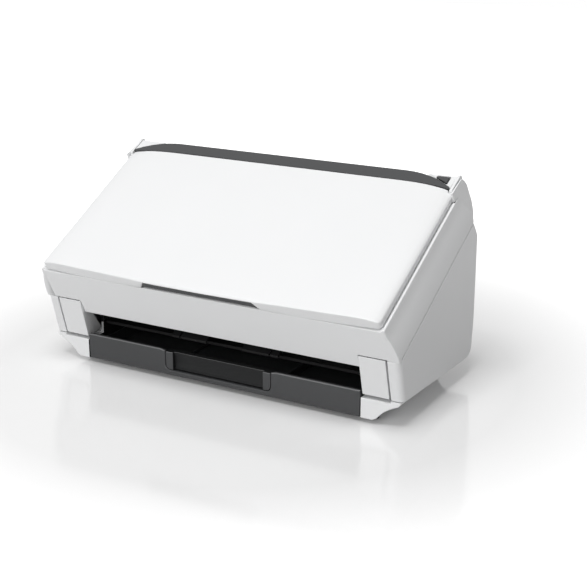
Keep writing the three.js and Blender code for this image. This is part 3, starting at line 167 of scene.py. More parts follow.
# %% Moulded grain group
def mould_grain_group():
    tree, start, end = new_group(
        "mould_grain",
        [("Vector", "Vector", None), ("Colour", "Color", (0.8, 0.8, 0.8, 1)), ("Grain", "Float", 2400.0),
         ("Drift", "Float", 0.03), ("Roughness", "Float", 0.45), ("Speckle", "Float", 0.06)],
        [("Colour", "Color"), ("Roughness", "Float"), ("Height", "Float")],
    )
    link = tree.links.new
    fine = add_node(tree, "TexNoise", Detail=3.0, Roughness=0.6)
    link(start.outputs["Vector"], fine.inputs["Vector"])
    link(start.outputs["Grain"], fine.inputs["Scale"])
    broad = add_node(tree, "TexNoise", Scale=14.0, Detail=2.0)
    link(start.outputs["Vector"], broad.inputs["Vector"])
    tone = add_node(tree, "Math", operation="MULTIPLY_ADD")
    link(broad.outputs["Fac"], tone.inputs[0])
    link(start.outputs["Drift"], tone.inputs[1])
    lift = add_node(tree, "Math", operation="MULTIPLY_ADD")
    link(start.outputs["Drift"], lift.inputs[0])
    lift.inputs[1].default_value = -0.5
    lift.inputs[2].default_value = 1.0
    link(lift.outputs[0], tone.inputs[2])
    tint = add_node(tree, "VectorMath", operation="SCALE")
    link(start.outputs["Colour"], tint.inputs[0])
    link(tone.outputs[0], tint.inputs["Scale"])
    link(tint.outputs[0], end.inputs["Colour"])
    rough = add_node(tree, "Math", operation="MULTIPLY_ADD")
    link(fine.outputs["Fac"], rough.inputs[0])
    link(start.outputs["Speckle"], rough.inputs[1])
    link(start.outputs["Roughness"], rough.inputs[2])
    link(rough.outputs[0], end.inputs["Roughness"])
    link(fine.outputs["Fac"], end.inputs["Height"])
    return tree


GRAIN = mould_grain_group()
print("group:", GRAIN.name)


# %% [markdown]
# ## Plastics
# All the housings are the same kind of satin plastic in different colours, so one function
# makes them. The shader stays in the material, and only values that change over the
# surface come out of the group.


# %% Plastic materials
def plastic(name, colour, roughness, grain=2400.0, depth=0.00003, drift=0.03, specular=0.5):
    """A moulded plastic; colour is in the shader's own linear values."""
    material, tree, shader, place = new_material(name)
    group = tree.nodes.new("ShaderNodeGroup")
    group.node_tree = GRAIN
    group.inputs["Colour"].default_value = (*colour, 1)
    group.inputs["Grain"].default_value = grain
    group.inputs["Drift"].default_value = drift
    group.inputs["Roughness"].default_value = roughness
    bump = add_node(tree, "Bump", Strength=0.35, Distance=depth)
    link = tree.links.new
    link(place.outputs["Object"], group.inputs["Vector"])
    link(group.outputs["Colour"], shader.inputs["Base Color"])
    link(group.outputs["Roughness"], shader.inputs["Roughness"])
    link(group.outputs["Height"], bump.inputs["Height"])
    link(bump.outputs["Normal"], shader.inputs["Normal"])
    shader.inputs["Specular IOR Level"].default_value = specular
    return material


finish = {
    "white": plastic("white_shell", (0.84, 0.845, 0.85), 0.36),
    "light_grey": plastic("light_grey_shell", (0.56, 0.57, 0.58), 0.42),
    "dark": plastic("dark_tray_plastic", (0.035, 0.036, 0.038), 0.42,
                    grain=1800.0, depth=0.00005, drift=0.1),
    "black": plastic("black_guide_plastic", (0.006, 0.006, 0.0065), 0.62,
                     grain=1800.0, depth=0.00004, drift=0.1, specular=0.25),
    "frame": plastic("chassis_plastic", (0.025, 0.026, 0.028), 0.6,
                     grain=1500.0, depth=0.00006, drift=0.15),
    "gear": plastic("gear_nylon", (0.79, 0.75, 0.66), 0.45,
                    grain=1200.0, depth=0.00003, drift=0.05),
    "rubber": plastic("roller_rubber", (0.02, 0.021, 0.023), 0.8,
                      grain=3200.0, depth=0.00008, drift=0.2),
    "button": plastic("button_plastic", (0.68, 0.69, 0.70), 0.3,
                      grain=3000.0, depth=0.00002),
}
print("plastics:", len(finish))

# %% [markdown]
# ## Turned steel
# The shafts, the pins and the can of the motor are steel. A lathe leaves fine lines that
# run round the piece. Cutting them in the mesh would take far too many faces, so a noise
# is squeezed along X, the axis of the shafts, and drives colour, roughness and bump.


# %% Turned steel
def turned_steel(name, colour, roughness):
    material, tree, shader, place = new_material(name)
    squeeze = add_node(tree, "Mapping", Scale=(2600, 60, 60))
    lines = add_node(tree, "TexNoise", Scale=1.0, Detail=3.0)
    rough = add_node(tree, "MapRange", To_Min=roughness - 0.08, To_Max=roughness + 0.12)
    tone = two_tones(tree, [value * 0.86 for value in colour], colour)
    bump = add_node(tree, "Bump", Strength=0.2, Distance=0.00002)
    link = tree.links.new
    link(place.outputs["Object"], squeeze.inputs["Vector"])
    link(squeeze.outputs["Vector"], lines.inputs["Vector"])
    link(lines.outputs["Fac"], rough.inputs["Value"])
    link(lines.outputs["Fac"], tone.inputs["Fac"])
    link(lines.outputs["Fac"], bump.inputs["Height"])
    link(tone.outputs["Color"], shader.inputs["Base Color"])
    link(rough.outputs["Result"], shader.inputs["Roughness"])
    link(bump.outputs["Normal"], shader.inputs["Normal"])
    shader.inputs["Metallic"].default_value = 1
    return material


finish["steel"] = turned_steel("turned_steel", (0.62, 0.63, 0.65), 0.3)
print("material:", finish["steel"].name)

# %% [markdown]
# ## Dark glass
# The scan bars look through dark polished glass. It would be a perfect mirror if nobody
# ever wiped it, so a soft noise gives it the faint haze of a cloth.


# %% Dark glass
def dark_glass(name):
    material, tree, shader, place = new_material(name)
    haze = add_node(tree, "TexNoise", Scale=60.0, Detail=4.0)
    rough = add_node(tree, "MapRange", To_Min=0.04, To_Max=0.14)
    tone = two_tones(tree, (0.004, 0.006, 0.008), (0.009, 0.012, 0.015))
    link = tree.links.new
    link(place.outputs["Object"], haze.inputs["Vector"])
    link(haze.outputs["Fac"], rough.inputs["Value"])
    link(haze.outputs["Fac"], tone.inputs["Fac"])
    link(tone.outputs["Color"], shader.inputs["Base Color"])
    link(rough.outputs["Result"], shader.inputs["Roughness"])
    return material


finish["lens"] = dark_glass("scan_bar_glass")
print("material:", finish["lens"].name)

# %% [markdown]
# ## Circuit board lacquer
# The board is green lacquer over copper. Drawing every track would be wasted behind the
# vents, so the cells of a blocky Voronoi texture stand for the copper areas under it.


# %% Circuit board lacquer
def circuit_board(name):
    material, tree, shader, place = new_material(name)
    cells = add_node(tree, "TexVoronoi", Scale=420.0, distance="CHEBYCHEV", feature="F1")
    tone = two_tones(tree, (0.010, 0.085, 0.030), (0.016, 0.13, 0.045), dark_until=0.42, light_from=0.46)
    bump = add_node(tree, "Bump", Strength=0.5, Distance=0.00004)
    link = tree.links.new
    link(place.outputs["Object"], cells.inputs["Vector"])
    link(cells.outputs["Distance"], tone.inputs["Fac"])
    link(tone.outputs["Color"], shader.inputs["Base Color"])
    link(tone.outputs["Color"], bump.inputs["Height"])
    link(bump.outputs["Normal"], shader.inputs["Normal"])
    shader.inputs["Roughness"].default_value = 0.35
    return material


finish["board"] = circuit_board("circuit_board")
print("finishes:", sorted(finish))

# %% [markdown]
# ## Which finish each solid has
# The record names a material slot for every solid, so the finish of a solid that is shown
# as it is comes straight from there.

# %% Dress every solid
slot_of = {part["node"]: part["material_slot"] for part in frame["record"]["subparts"]}
for name, solid in nodes.items():
    solid.data.materials.clear()
    solid.data.materials.append(finish[slot_of[name]])
print("solids with a slot:", len(slot_of), "of", len(nodes))


# %% [markdown]
# ## Working helpers
# An operator acts on all that is selected, so everything is deselected before a piece is
# worked on. A solid comes as loose triangles, so its copy is merged into whole faces
# before it is shaped. Each finished piece then rides on the body of its solid.


# %% Working helpers
MERGE_DISTANCE = 2e-6
FLAT_WITHIN = math.radians(0.5)


def work_on(piece):
    """Makes one piece the only one that operators act on."""
    if bpy.context.mode != "OBJECT":
        bpy.ops.object.mode_set(mode="OBJECT")
    bpy.ops.object.select_all(action="DESELECT")
    piece.select_set(True)
    bpy.context.view_layer.objects.active = piece


def edit_all(piece):
    """Opens a piece in edit mode with all of it selected."""
    work_on(piece)
    bpy.ops.object.mode_set(mode="EDIT")
    bpy.ops.mesh.select_all(action="SELECT")


def leave_edit():
    bpy.ops.object.mode_set(mode="OBJECT")


def shell_copy(node, name):
    """A copy of a solid, with its loose triangles merged into whole faces."""
    mesh = nodes[node].data.copy()
    mesh.materials.clear()
    piece = bpy.data.objects.new(name, mesh)
    bpy.context.collection.objects.link(piece)
    work_on(piece)
    if mesh.has_custom_normals:
        bpy.ops.mesh.customdata_custom_splitnormals_clear()
    edit_all(piece)
    bpy.ops.mesh.remove_doubles(threshold=MERGE_DISTANCE)
    bpy.ops.mesh.dissolve_limited(angle_limit=FLAT_WITHIN)
    leave_edit()
    return piece


def box_of(node):
    """The middle and the size of a solid."""
    points = [vertex.co for vertex in nodes[node].data.vertices]
    low = Vector([min(point[i] for point in points) for i in range(3)])
    high = Vector([max(point[i] for point in points) for i in range(3)])
    return (low + high) / 2, high - low


def finish_piece(piece, node):
    """Gives a piece the material of its solid's slot, and lets it stand for its solid."""
    slot = slot_of[node]
    piece.data.materials.clear()
    piece.data.materials.append(finish[slot])
    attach(piece, body_of_node[node])
    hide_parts(node)
    print(piece.name, "faces:", len(piece.data.polygons))


# %% [markdown]
# ## Rounding
# A bevel that is wider than the face beside it folds over itself. So the large shells are
# rounded only where both faces have room and no short edge meets the corner: those edges
# get a bevel weight, and the others stay crisp. The small turned and moulded parts have
# room everywhere, so there the bevel simply takes every edge above an angle. A weighted
# normal keeps the flat faces flat in the light.

# %% Rounding helpers
SHARP_ANGLE = math.radians(32)
ROOM_NEEDED = 2.2        # least reach of the faces beside an edge, in widths of the rounding
SHORTEST_CORNER = 1.15   # least length of an edge that meets it, in widths too
SAME_LINE = 0.86         # cosine above which two edges count as one line
SMOOTH_SHELL = math.radians(36)
SMOOTH_SMALL_PART = math.radians(35)
WELD_DISTANCE = 1.5e-5
WEIGHT = "bevel_weight_edge"


def apply_modifier(piece, kind, **settings):
    """Adds a modifier, sets it and applies it at once."""
    modifier = piece.modifiers.new(kind.lower(), kind)
    for key, value in settings.items():
        setattr(modifier, key, value)
    work_on(piece)
    bpy.ops.object.modifier_apply(modifier=modifier.name)


def room_beside(mesh, face, a, b):
    """How far a face reaches away from its edge a-b."""
    along = (b - a).normalized()
    reach = 0.0
    for index in face.vertices:
        offset = mesh.vertices[index].co - a
        reach = max(reach, (offset - along * offset.dot(along)).length)
    return reach


def by_edge(mesh):
    """The two faces beside each edge, and the edges that meet at each vertex."""
    beside = {}
    for face in mesh.polygons:
        for key in face.edge_keys:
            beside.setdefault(key, []).append(face)
    meeting = {}
    for edge in mesh.edges:
        for vertex in edge.vertices:
            meeting.setdefault(vertex, []).append(edge)
    return beside, meeting


def corner_is_tight(mesh, edge, faces, meeting, width):
    """Whether a short edge of the same faces meets an edge at a clear angle."""
    a, b = (mesh.vertices[v].co for v in edge.vertices)
    along = (b - a).normalized()
    face_keys = {key for face in faces for key in face.edge_keys}
    for vertex in edge.vertices:
        for other in meeting[vertex]:
            if other.index == edge.index or other.key not in face_keys:
                continue
            span = mesh.vertices[other.vertices[1]].co - mesh.vertices[other.vertices[0]].co
            turned = abs(span.normalized().dot(along)) < SAME_LINE
            if turned and span.length < SHORTEST_CORNER * width:
                return True
    return False


def round_edges(piece, width, segments=3, skip=None):
    """Rounds the sharp edges that have room for it, and shades the piece smooth."""
    mesh = piece.data
    beside, meeting = by_edge(mesh)
    weights = [0.0] * len(mesh.edges)
    for edge in mesh.edges:
        faces = beside.get(edge.key, [])
        if len(faces) != 2 or faces[0].normal.angle(faces[1].normal, 0) < SHARP_ANGLE:
            continue
        a, b = (mesh.vertices[v].co for v in edge.vertices)
        if skip and skip((a + b) / 2):
            continue
        if min(room_beside(mesh, face, a, b) for face in faces) < ROOM_NEEDED * width:
            continue
        if not corner_is_tight(mesh, edge, faces, meeting, width):
            weights[edge.index] = 1.0
    mesh.attributes.new(WEIGHT, "FLOAT", "EDGE").data.foreach_set("value", weights)
    apply_modifier(piece, "BEVEL", width=width, segments=segments, limit_method="WEIGHT",
                   use_clamp_overlap=False, miter_outer="MITER_ARC")
    edit_all(piece)
    bpy.ops.mesh.remove_doubles(threshold=WELD_DISTANCE)
    bpy.ops.mesh.delete_loose()
    leave_edit()
    bpy.ops.object.shade_smooth_by_angle(angle=SMOOTH_SHELL)
    apply_modifier(piece, "WEIGHTED_NORMAL", keep_sharp=True)
    piece.data.attributes.remove(piece.data.attributes[WEIGHT])
    return int(sum(weights))


def round_all(piece, width, segments, above=40):
    """Rounds every edge above an angle in degrees, and shades the piece smooth."""
    apply_modifier(piece, "BEVEL", width=width, segments=segments, limit_method="ANGLE",
                   angle_limit=math.radians(above))
    bpy.ops.object.shade_smooth_by_angle(angle=SMOOTH_SMALL_PART)


# %% [markdown]
# ## Picking by place
# The lid slopes, so places on it are easier to name in its own terms: how far up the slope,
# and how high above its plane. Vertices, edges and faces are picked with a test on their
# place, a plane cut adds edges where a piece has none, and what the rounding pushed out
# past the sides is flattened back. Most recesses are an inset followed by a push.

# %% Picking helpers
LID_RISE = 71
LID_LENGTH = 149.9
LID_FRONT_Y = -76
LID_FRONT_Z = 83
LID_SLOPE = math.asin(LID_RISE / LID_LENGTH)
LID_SIN = math.sin(LID_SLOPE)
LID_COS = math.cos(LID_SLOPE)
FACING = 0.99   # cosine above which a face looks along a direction
ACROSS = 0.1    # cosine below which it looks across it
ALONG_X = (1, 0, 0)
ALONG_Z = (0, 0, 1)


def lid_place(point):
    """A point's height above the lid's plane and its place up the slope, in millimetres."""
    dy = point.y / MM - LID_FRONT_Y
    dz = point.z / MM - LID_FRONT_Z
    return dz * LID_COS - dy * LID_SIN, dy * LID_COS + dz * LID_SIN


def pick(piece, kind, test):
    """Selects the vertices, edges or faces that pass a test, and stays in edit mode."""
    work_on(piece)
    mesh = piece.data
    bpy.ops.object.mode_set(mode="EDIT")
    bpy.ops.mesh.select_mode(type=kind)
    bpy.ops.mesh.select_all(action="DESELECT")
    leave_edit()
    items = {"VERT": mesh.vertices, "EDGE": mesh.edges, "FACE": mesh.polygons}[kind]
    count = 0
    for item in items:
        if kind == "VERT":
            item.select = test(item.co)
        elif kind == "EDGE":
            item.select = test(*[mesh.vertices[v].co for v in item.vertices])
        else:
            item.select = test(item)
        count += item.select
    bpy.ops.object.mode_set(mode="EDIT")
    return count


def split_at(piece, place, normal):
    """Cuts every face of a piece along a plane and keeps both sides."""
    edit_all(piece)
    bpy.ops.mesh.bisect(plane_co=place, plane_no=normal)
    leave_edit()


def hold_width(piece):
    """Flattens whatever the rounding pushed out past the sides."""
    for side in (-1, 1):
        pick(piece, "VERT", lambda co: side * co.x > HALF_WIDTH)
        bpy.ops.transform.resize(value=(0, 1, 1), center_override=(side * HALF_WIDTH, 0, 0))
    leave_edit()


def inset_steps(steps, direction):
    """Insets the picked faces and moves them, for each (inset, move) in millimetres."""
    for inset, move in steps:
        bpy.ops.mesh.inset(thickness=inset * MM)
        bpy.ops.transform.translate(value=direction * move * MM)
    leave_edit()


def push_in(depth):
    """Pushes the picked faces in along their normals, with walls round them."""
    bpy.ops.mesh.extrude_region_shrink_fatten(TRANSFORM_OT_shrink_fatten={"value": -depth})
    leave_edit()


print("lid slope:", round(math.degrees(LID_SLOPE), 2), "degrees")

# %% [markdown]
# ## The ledge beside the lid
# A bright ledge runs up both sides of the lid. On the real machine the cover's rim steps up
# past the lid's lower edge and rolls over into the side wall. Two plane cuts give the rim
# an inner step, its top is lifted square to the lid, and its outer edge is rounded. At
# its rear end the ledge is drawn out to meet the cap. The places are in millimetres, from
# the middle, above the lid's plane and up its slope.

# %% Ledge
RIM_CUTS = (140.25, 140.6)
RIM_INNER_EDGE = (139.6, 141.3)
RIM_REAR_END = (127.5, 128.6)
RIM_DEPTH = -14.5
REACH_TO_CAP = 2.6
LEDGE_LIFT = 1.5
LEDGE_STRIPS = ((140.5, 140.9, 0), (140.9, 143, 1.2))
LEDGE_LOW = -10.1
LEDGE_TOP = -8.7
LEDGE_OUTER_EDGE = 142.4
LEDGE_LONG_EDGE = 20
EDGE_ROLL = 0.9 * MM
ROLL_SEGMENTS = 4


def raise_ledge(cover):
    lift = (-LEDGE_LIFT * LID_SIN * MM, LEDGE_LIFT * LID_COS * MM)
    for side in (-1, 1):
        for cut in RIM_CUTS:
            split_at(cover, (side * cut * MM, 0, 0), ALONG_X)

        def at_the_rear_end(co):
            height, along = lid_place(co)
            inside = RIM_INNER_EDGE[0] < side * co.x / MM < RIM_INNER_EDGE[1]
            return inside and height > RIM_DEPTH and RIM_REAR_END[0] < along < RIM_REAR_END[1]

        pick(cover, "VERT", at_the_rear_end)
        bpy.ops.transform.translate(value=(0, REACH_TO_CAP * LID_COS * MM, REACH_TO_CAP * LID_SIN * MM))
        for low, high, outward in LEDGE_STRIPS:
            pick(cover, "VERT", lambda co: low < side * co.x / MM < high and lid_place(co)[0] > LEDGE_LOW)
            bpy.ops.transform.translate(value=(side * outward * MM, *lift))

    def on_the_outer_edge(a, b):
        outside = min(abs(a.x), abs(b.x)) > LEDGE_OUTER_EDGE * MM
        raised = min(lid_place(a)[0], lid_place(b)[0]) > LEDGE_TOP
        return outside and raised and (a - b).length > LEDGE_LONG_EDGE * MM

    outer = pick(cover, "EDGE", on_the_outer_edge)
    bpy.ops.mesh.bevel(offset=EDGE_ROLL, segments=ROLL_SEGMENTS, affect="EDGES")
    leave_edit()
    print("ledge edges:", outer)


# %% [markdown]
# ## The parting line
# The front unit closes on the casing along a slanted line. The casing's top edge there is
# rounder than the others and catches the light, so it is bevelled by itself first. It is
# found as the long sloping edge in the upper half of each side wall.

# %% Parting line
SIDE_WALL = 148.4 * MM
PARTING_LENGTH = 30 * MM
PARTING_RUN = 20 * MM
PARTING_STEEPNESS = 0.3
PARTING_HEIGHT = 60 * MM
NO_RUN = 1e-9


def soften_parting(casing):
    def on_the_parting(a, b):
        run = abs(b.y - a.y)
        steepness = abs((b.z - a.z) / max(run, NO_RUN))
        in_the_wall = min(abs(a.x), abs(b.x)) > SIDE_WALL
        long_enough = (a - b).length > PARTING_LENGTH and run > PARTING_RUN
        high_enough = (a.z + b.z) / 2 > PARTING_HEIGHT
        return in_the_wall and long_enough and high_enough and steepness > PARTING_STEEPNESS

    found = pick(casing, "EDGE", on_the_parting)
    bpy.ops.mesh.bevel(offset=EDGE_ROLL, segments=ROLL_SEGMENTS, affect="EDGES")
    leave_edit()
    print("parting edges:", found)


# %% [markdown]
# ## Painted shade and highlight on one piece
# The drawer bay and the front lip of the pan are painted black for the shade inside the bay and the
# shadow line under the drawer. The grip in the drawer is painted darker for the shade in its hollow. The
# rounded top edge of the drawer is painted lighter as a highlight. Each of these is a second finish on
# some faces of one piece. One could cut the pieces apart instead, but the real ones are moulded whole.

# %% Painted shade and highlight
BAY_HALF_WIDTH = 117.3 * MM
BAY_REAR = 57 * MM
BAY_FLOOR = 5 * MM
BAY_LIP = -40 * MM
DRAWER_FRONT = -44 * MM
DRAWER_TOP = 20 * MM
GRIP_HALF_WIDTH = 38.8 * MM
TOWARDS_TOP = 0.25
TOWARDS_FRONT = -0.2
# Painted shade: the grip's hollow gets this near-black plastic, darker than the drawer, for the shade
# inside it.
finish["recess"] = plastic("grip_shade_painted_plastic", (0.010, 0.0105, 0.011), 0.55,
                           grain=1800.0, depth=0.00005, drift=0.1, specular=0.25)
# Painted highlight: the drawer's rounded top edge gets a lighter, glossier plastic that stands for the
# light caught along it.
finish["painted_highlight"] = plastic("highlight_painted_edge_plastic", (0.15, 0.152, 0.155), 0.3,
                          grain=1800.0, depth=0.00003, drift=0.1)


def paint(piece, look, test):
    """Gives the faces that pass a test another finish."""
    piece.data.materials.append(finish[look])
    place = len(piece.data.materials) - 1
    count = 0
    for face in piece.data.polygons:
        if test(face):
            face.material_index = place
            count += 1
    print("  ", look, "faces:", count)


def in_the_bay(co):
    inside = abs(co.x) < BAY_HALF_WIDTH and co.y < BAY_REAR
    return inside and (co.z > BAY_FLOOR or co.y < BAY_LIP)


def on_top_edge(face):
    front = face.center.y < DRAWER_FRONT and face.center.z > DRAWER_TOP
    return front and face.normal.z > TOWARDS_TOP and face.normal.y < TOWARDS_FRONT


def in_the_grip(face):
    return abs(face.center.x) < GRIP_HALF_WIDTH and face.center.y < DRAWER_FRONT


# Painted shade: the bay of the pan and its front lip get the black plastic, for the shade inside the bay
# and the shadow line under the drawer.
painted_light_looks = {
    "base_pan": (("black", lambda face: in_the_bay(face.center)),),
    "output_tray": (("painted_highlight", on_top_edge),),
    "output_extension": (("recess", in_the_grip), ("painted_highlight", on_top_edge)),
}
print("finishes:", sorted(finish))

# %% [markdown]
# ## The housings
# The housings are moulded shells. No moulded edge is sharp, and it is the thin highlight on
# each rounded edge that makes a plastic machine look real. Each shell starts as a copy of
# its solid, and only the edges that have room for it are rounded, by the widths given here
# in millimetres. The arms of the lid are thin, so they get a finer rounding of their own,
# and their slots in the cap stay crisp.

# %% Housings
ARM_INNER_SIDE = 136.3 * MM
ARM_START = 124
ARM_ROUNDING = 0.2 * MM
shell_edges = {
    "base_casing": 0.7,
    "cover_shell": 0.7,
    "hump_cover": 0.6,
    "base_pan": 0.6,
    "leg_cover_left": 0.6,
    "leg_cover_right": 0.6,
    "top_panel": 0.5,
    "input_tray_lid": 0.8,
    "input_tray_panel": 0.5,
    "tray_extension": 0.4,
    "output_tray": 0.8,
    "output_extension": 0.35,
    "release_lever": 0.4,
    "rear_guide": 0.3,
}


def near_an_arm(co):
    return abs(co.x) > ARM_INNER_SIDE and lid_place(co)[1] > ARM_START


shape_first = {"cover_shell": raise_ledge, "base_casing": soften_parting}
skip_of = {"base_pan": in_the_bay, "input_tray_lid": near_an_arm, "hump_cover": near_an_arm}
for node, width in shell_edges.items():
    shell = shell_copy(node, node + "_moulded")
    if node in shape_first:
        shape_first[node](shell)
    rounded = round_edges(shell, width * MM, skip=skip_of.get(node))
    if node == "input_tray_lid":
        rounded += round_edges(shell, ARM_ROUNDING, segments=2, skip=lambda co: not near_an_arm(co))
    hold_width(shell)
    finish_piece(shell, node)
    for look, test in painted_light_looks.get(node, ()):
        paint(shell, look, test)
    print("  rounded edges:", rounded)

# %% [markdown]
# ## The inner plastics
# Behind the housings are the chassis, the paper guides, the side frames and the small
# levers. They show when the front unit swings open, so they get fine rounded edges too,
# and so do the teeth of the gears.

# %% Inner parts
inner_edges = {
    "front_guide": 0.3,
    "upper_frame": 0.4,
    "side_frame_left": 0.4,
    "side_frame_right": 0.4,
    "guide_left": 0.25,
    "guide_right": 0.25,
    "stopper_flap": 0.25,
    "separation_arm": 0.25,
    "paper_flag": 0.2,
    "usb_port": 0.25,
    "power_jack": 0.25,
    "feed_gear": 0.15,
    "drive_gear": 0.15,
    "exit_gear": 0.15,
    "upper_idler_gear": 0.15,
    "lower_idler_gear": 0.15,
    "motor_pinion": 0.12,
    "guide_pinion": 0.12,
}
for node, width in inner_edges.items():
    part = shell_copy(node, node + "_rounded")
    rounded = round_edges(part, width * MM, segments=2)
    finish_piece(part, node)
    print("  rounded edges:", rounded)

# %% [markdown]
# ## Scan bars, glass, pad and lens
# These start as plain blocks. The scan bars have a sunk land that the glass is glued into,
# the glass has a polished border, the pad has a raised middle inside a sunk frame so that
# it drags on the paper, and the lens is dished. An inset followed by a push makes each of
# them. Each entry gives the share of the largest face that a face needs to get the steps,
# the rounding, and the steps as (inset, depth), in millimetres.

# %% Scan bars and pad
BAR_STEPS = ((1.2, 0), (0.3, 0.3))
GLASS_STEPS = ((0.5, 0), (0.3, 0.08))
PAD_STEPS = ((0.8, 0), (0.2, 0.25), (1.0, 0), (0.2, -0.2))
LENS_STEPS = ((0.5, 0), (0.35, 0.2))
block_steps = {
    "lower_sensor": (0.7, 0.2, BAR_STEPS),
    "upper_sensor": (0.7, 0.2, BAR_STEPS),
    "lower_sensor_glass": (0.7, 0.2, GLASS_STEPS),
    "upper_sensor_glass": (0.7, 0.2, GLASS_STEPS),
    "separation_pad": (0.6, 0.2, PAD_STEPS),
    "status_lens": (0.6, 0.12, LENS_STEPS),
}


def sink_large_faces(piece, least_area, steps):
    """Insets each large face and pushes it in, for each (inset, depth) step."""
    big = [face.normal.copy() for face in piece.data.polygons if face.area > least_area]
    for normal in big:
        pick(piece, "FACE", lambda face: face.area > least_area and face.normal.dot(normal) > FACING)
        inset_steps(steps, -normal)
    return len(big)


for node, (share, rounding, steps) in block_steps.items():
    block = shell_copy(node, node + "_detailed")
    largest = max(face.area for face in block.data.polygons)
    count = sink_large_faces(block, largest * share, steps)
    round_edges(block, rounding * MM, segments=2)
    finish_piece(block, node)
    print("  large faces:", count)

# %% [markdown]
# ## Circuit board
# The board stands behind the vents, so its chips can be seen from the back. The board's
# face is cut into a grid with planes, and a few cells are raised as chips and sockets.
# Each chip is given by its ends along X, its ends along Z and its height, in millimetres.

# %% Circuit board
chips = (
    (-105, -85, 34, 54, 1.4),
    (-70, -58, 52, 64, 1.0),
    (-48, -30, 36, 50, 1.6),
    (-16, -6, 54, 66, 3.0),
    (4, 18, 32, 40, 2.2),
)
CLEAR_OF_BOARD = 0.05 * MM
middle, size = box_of("main_board")
board_face = middle.y + size.y / 2
finish["chip"] = plastic("chip_epoxy", (0.018, 0.018, 0.02), 0.55,
                         grain=2600.0, depth=0.00002, drift=0.1)


def on_chip(place, chip):
    low_x, high_x, low_z, high_z = chip[:4]
    return low_x < place.x / MM < high_x and low_z < place.z / MM < high_z


def on_a_raised_chip(face):
    raised = face.center.y > board_face + CLEAR_OF_BOARD
    return raised and any(on_chip(face.center, chip) for chip in chips)


board = shell_copy("main_board", "main_board_fitted")
for low_x, high_x, low_z, high_z, height in chips:
    for x in (low_x, high_x):
        split_at(board, (x * MM, 0, 0), ALONG_X)
    for z in (low_z, high_z):
        split_at(board, (0, 0, z * MM), ALONG_Z)
for chip in chips:
    pick(board, "FACE", lambda face: face.normal.y > FACING and on_chip(face.center, chip))
    bpy.ops.mesh.extrude_region_move(TRANSFORM_OT_translate={"value": (0, chip[4] * MM, 0)})
    leave_edit()
finish_piece(board, "main_board")
paint(board, "chip", on_a_raised_chip)

# %% [markdown]
# ## Shafts and pins
# A turned shaft is never a bare rod. It has a narrow groove near each end for a retaining
# clip and a chamfer that leads it into its bearing, and the swing pins have a socket in
# each end for the key that fits them. A skin face is one that lies further out than a
# share of the height.

# %% Shafts and pins
CLIP_INSET = 1.6 * MM
CLIP_INSET_SHARE = 0.2
CLIP_WIDTH = 0.7 * MM
CLIP_DEPTH = 0.35 * MM
SKIN_SHARE = 0.4
SOCKET_RIM_SHARE = 0.22
SOCKET_DEPTH = 0.8 * MM
HEAD_AREA_SHARE = 0.5
CHAMFER = 0.3 * MM


def sink_ring(piece, middle, low, high, least, depth):
    """Sinks the skin of a round piece between two places on the X axis."""
    for x in (low, high):
        split_at(piece, (x, 0, 0), ALONG_X)

    def on_the_skin(face):
        between = abs(face.normal.x) < ACROSS and low < face.center.x < high
        reach = math.hypot(face.center.y - middle.y, face.center.z - middle.z)
        return between and reach > least

    count = pick(piece, "FACE", on_the_skin)
    push_in(depth)
    return count


for node in ("feed_shaft", "drive_shaft", "exit_shaft", "swing_pin_left", "swing_pin_right"):
    rod = shell_copy(node, node + "_turned")
    middle, size = box_of(node)
    inset = min(CLIP_INSET, size.x * CLIP_INSET_SHARE)
    count = 0
    for end in (-1, 1):
        edge = middle.x + end * (size.x / 2 - inset)
        ends = sorted((edge, edge - end * CLIP_WIDTH))
        count += sink_ring(rod, middle, *ends, size.z * SKIN_SHARE, CLIP_DEPTH)
    if node.startswith("swing"):
        least_area = size.z ** 2 * HEAD_AREA_SHARE
        pick(rod, "FACE", lambda face: abs(face.normal.x) > FACING and face.area > least_area)
        bpy.ops.mesh.inset(thickness=size.z * SOCKET_RIM_SHARE)
        push_in(SOCKET_DEPTH)
    round_edges(rod, CHAMFER, segments=2)
    finish_piece(rod, node)
    print("  groove faces:", count)

# %% [markdown]
# ## Roller tyres
# The rubber tyres grip the paper. Each one is a thick ring pushed on its shaft. A circle
# spun round an axis would do, but a cylinder whose two ends are inset and bridged gives
# the same ring in fewer steps. Some of its outer faces are then pushed in.

# %% Tyre helpers
BORE = 2.6 * MM
OUTER_SHARE = 0.9


def ring_blank(name, middle, radius, width, sides):
    """A thick ring that turns about the X axis, made from a cylinder with a bridged bore."""
    bpy.ops.object.select_all(action="DESELECT")
    bpy.ops.mesh.primitive_cylinder_add(vertices=sides, radius=radius, depth=width, location=middle,
                                        rotation=(0, math.radians(90), 0))
    ring = bpy.context.object
    ring.name = name
    bpy.ops.object.transform_apply(location=True, rotation=True, scale=True)
    pick(ring, "FACE", lambda face: abs(face.normal.x) > FACING)
    bpy.ops.mesh.inset(thickness=radius - BORE)
    bpy.ops.mesh.bridge_edge_loops()
    leave_edit()
    return ring


def sink_bands(ring, middle, radius, test, depth):
    """Pushes the outer faces that pass a test in by a depth."""
    outer = (radius * OUTER_SHARE) ** 2

    def wanted(face):
        offset = face.center - middle
        away = offset.y ** 2 + offset.z ** 2 > outer and abs(face.normal.x) < ACROSS
        return away and test(offset)

    count = pick(ring, "FACE", wanted)
    push_in(depth)
    return count


def finish_ring(ring, node):
    edit_all(ring)
    bpy.ops.mesh.normals_make_consistent(inside=False)
    leave_edit()
    round_all(ring, 0.2 * MM, 2)
    finish_piece(ring, node)


# %% [markdown]
# ## Grooves and ribs
# Grooves are moulded round the tyres, so that they give a little and shed dust. One could
# cut the grooves with a boolean, but it is cleaner to slice the ring into bands and sink
# every other band along its normals. The feed tyre in the middle has ribs along it
# instead: one side of the ring in three is sunk, and the others are left standing.

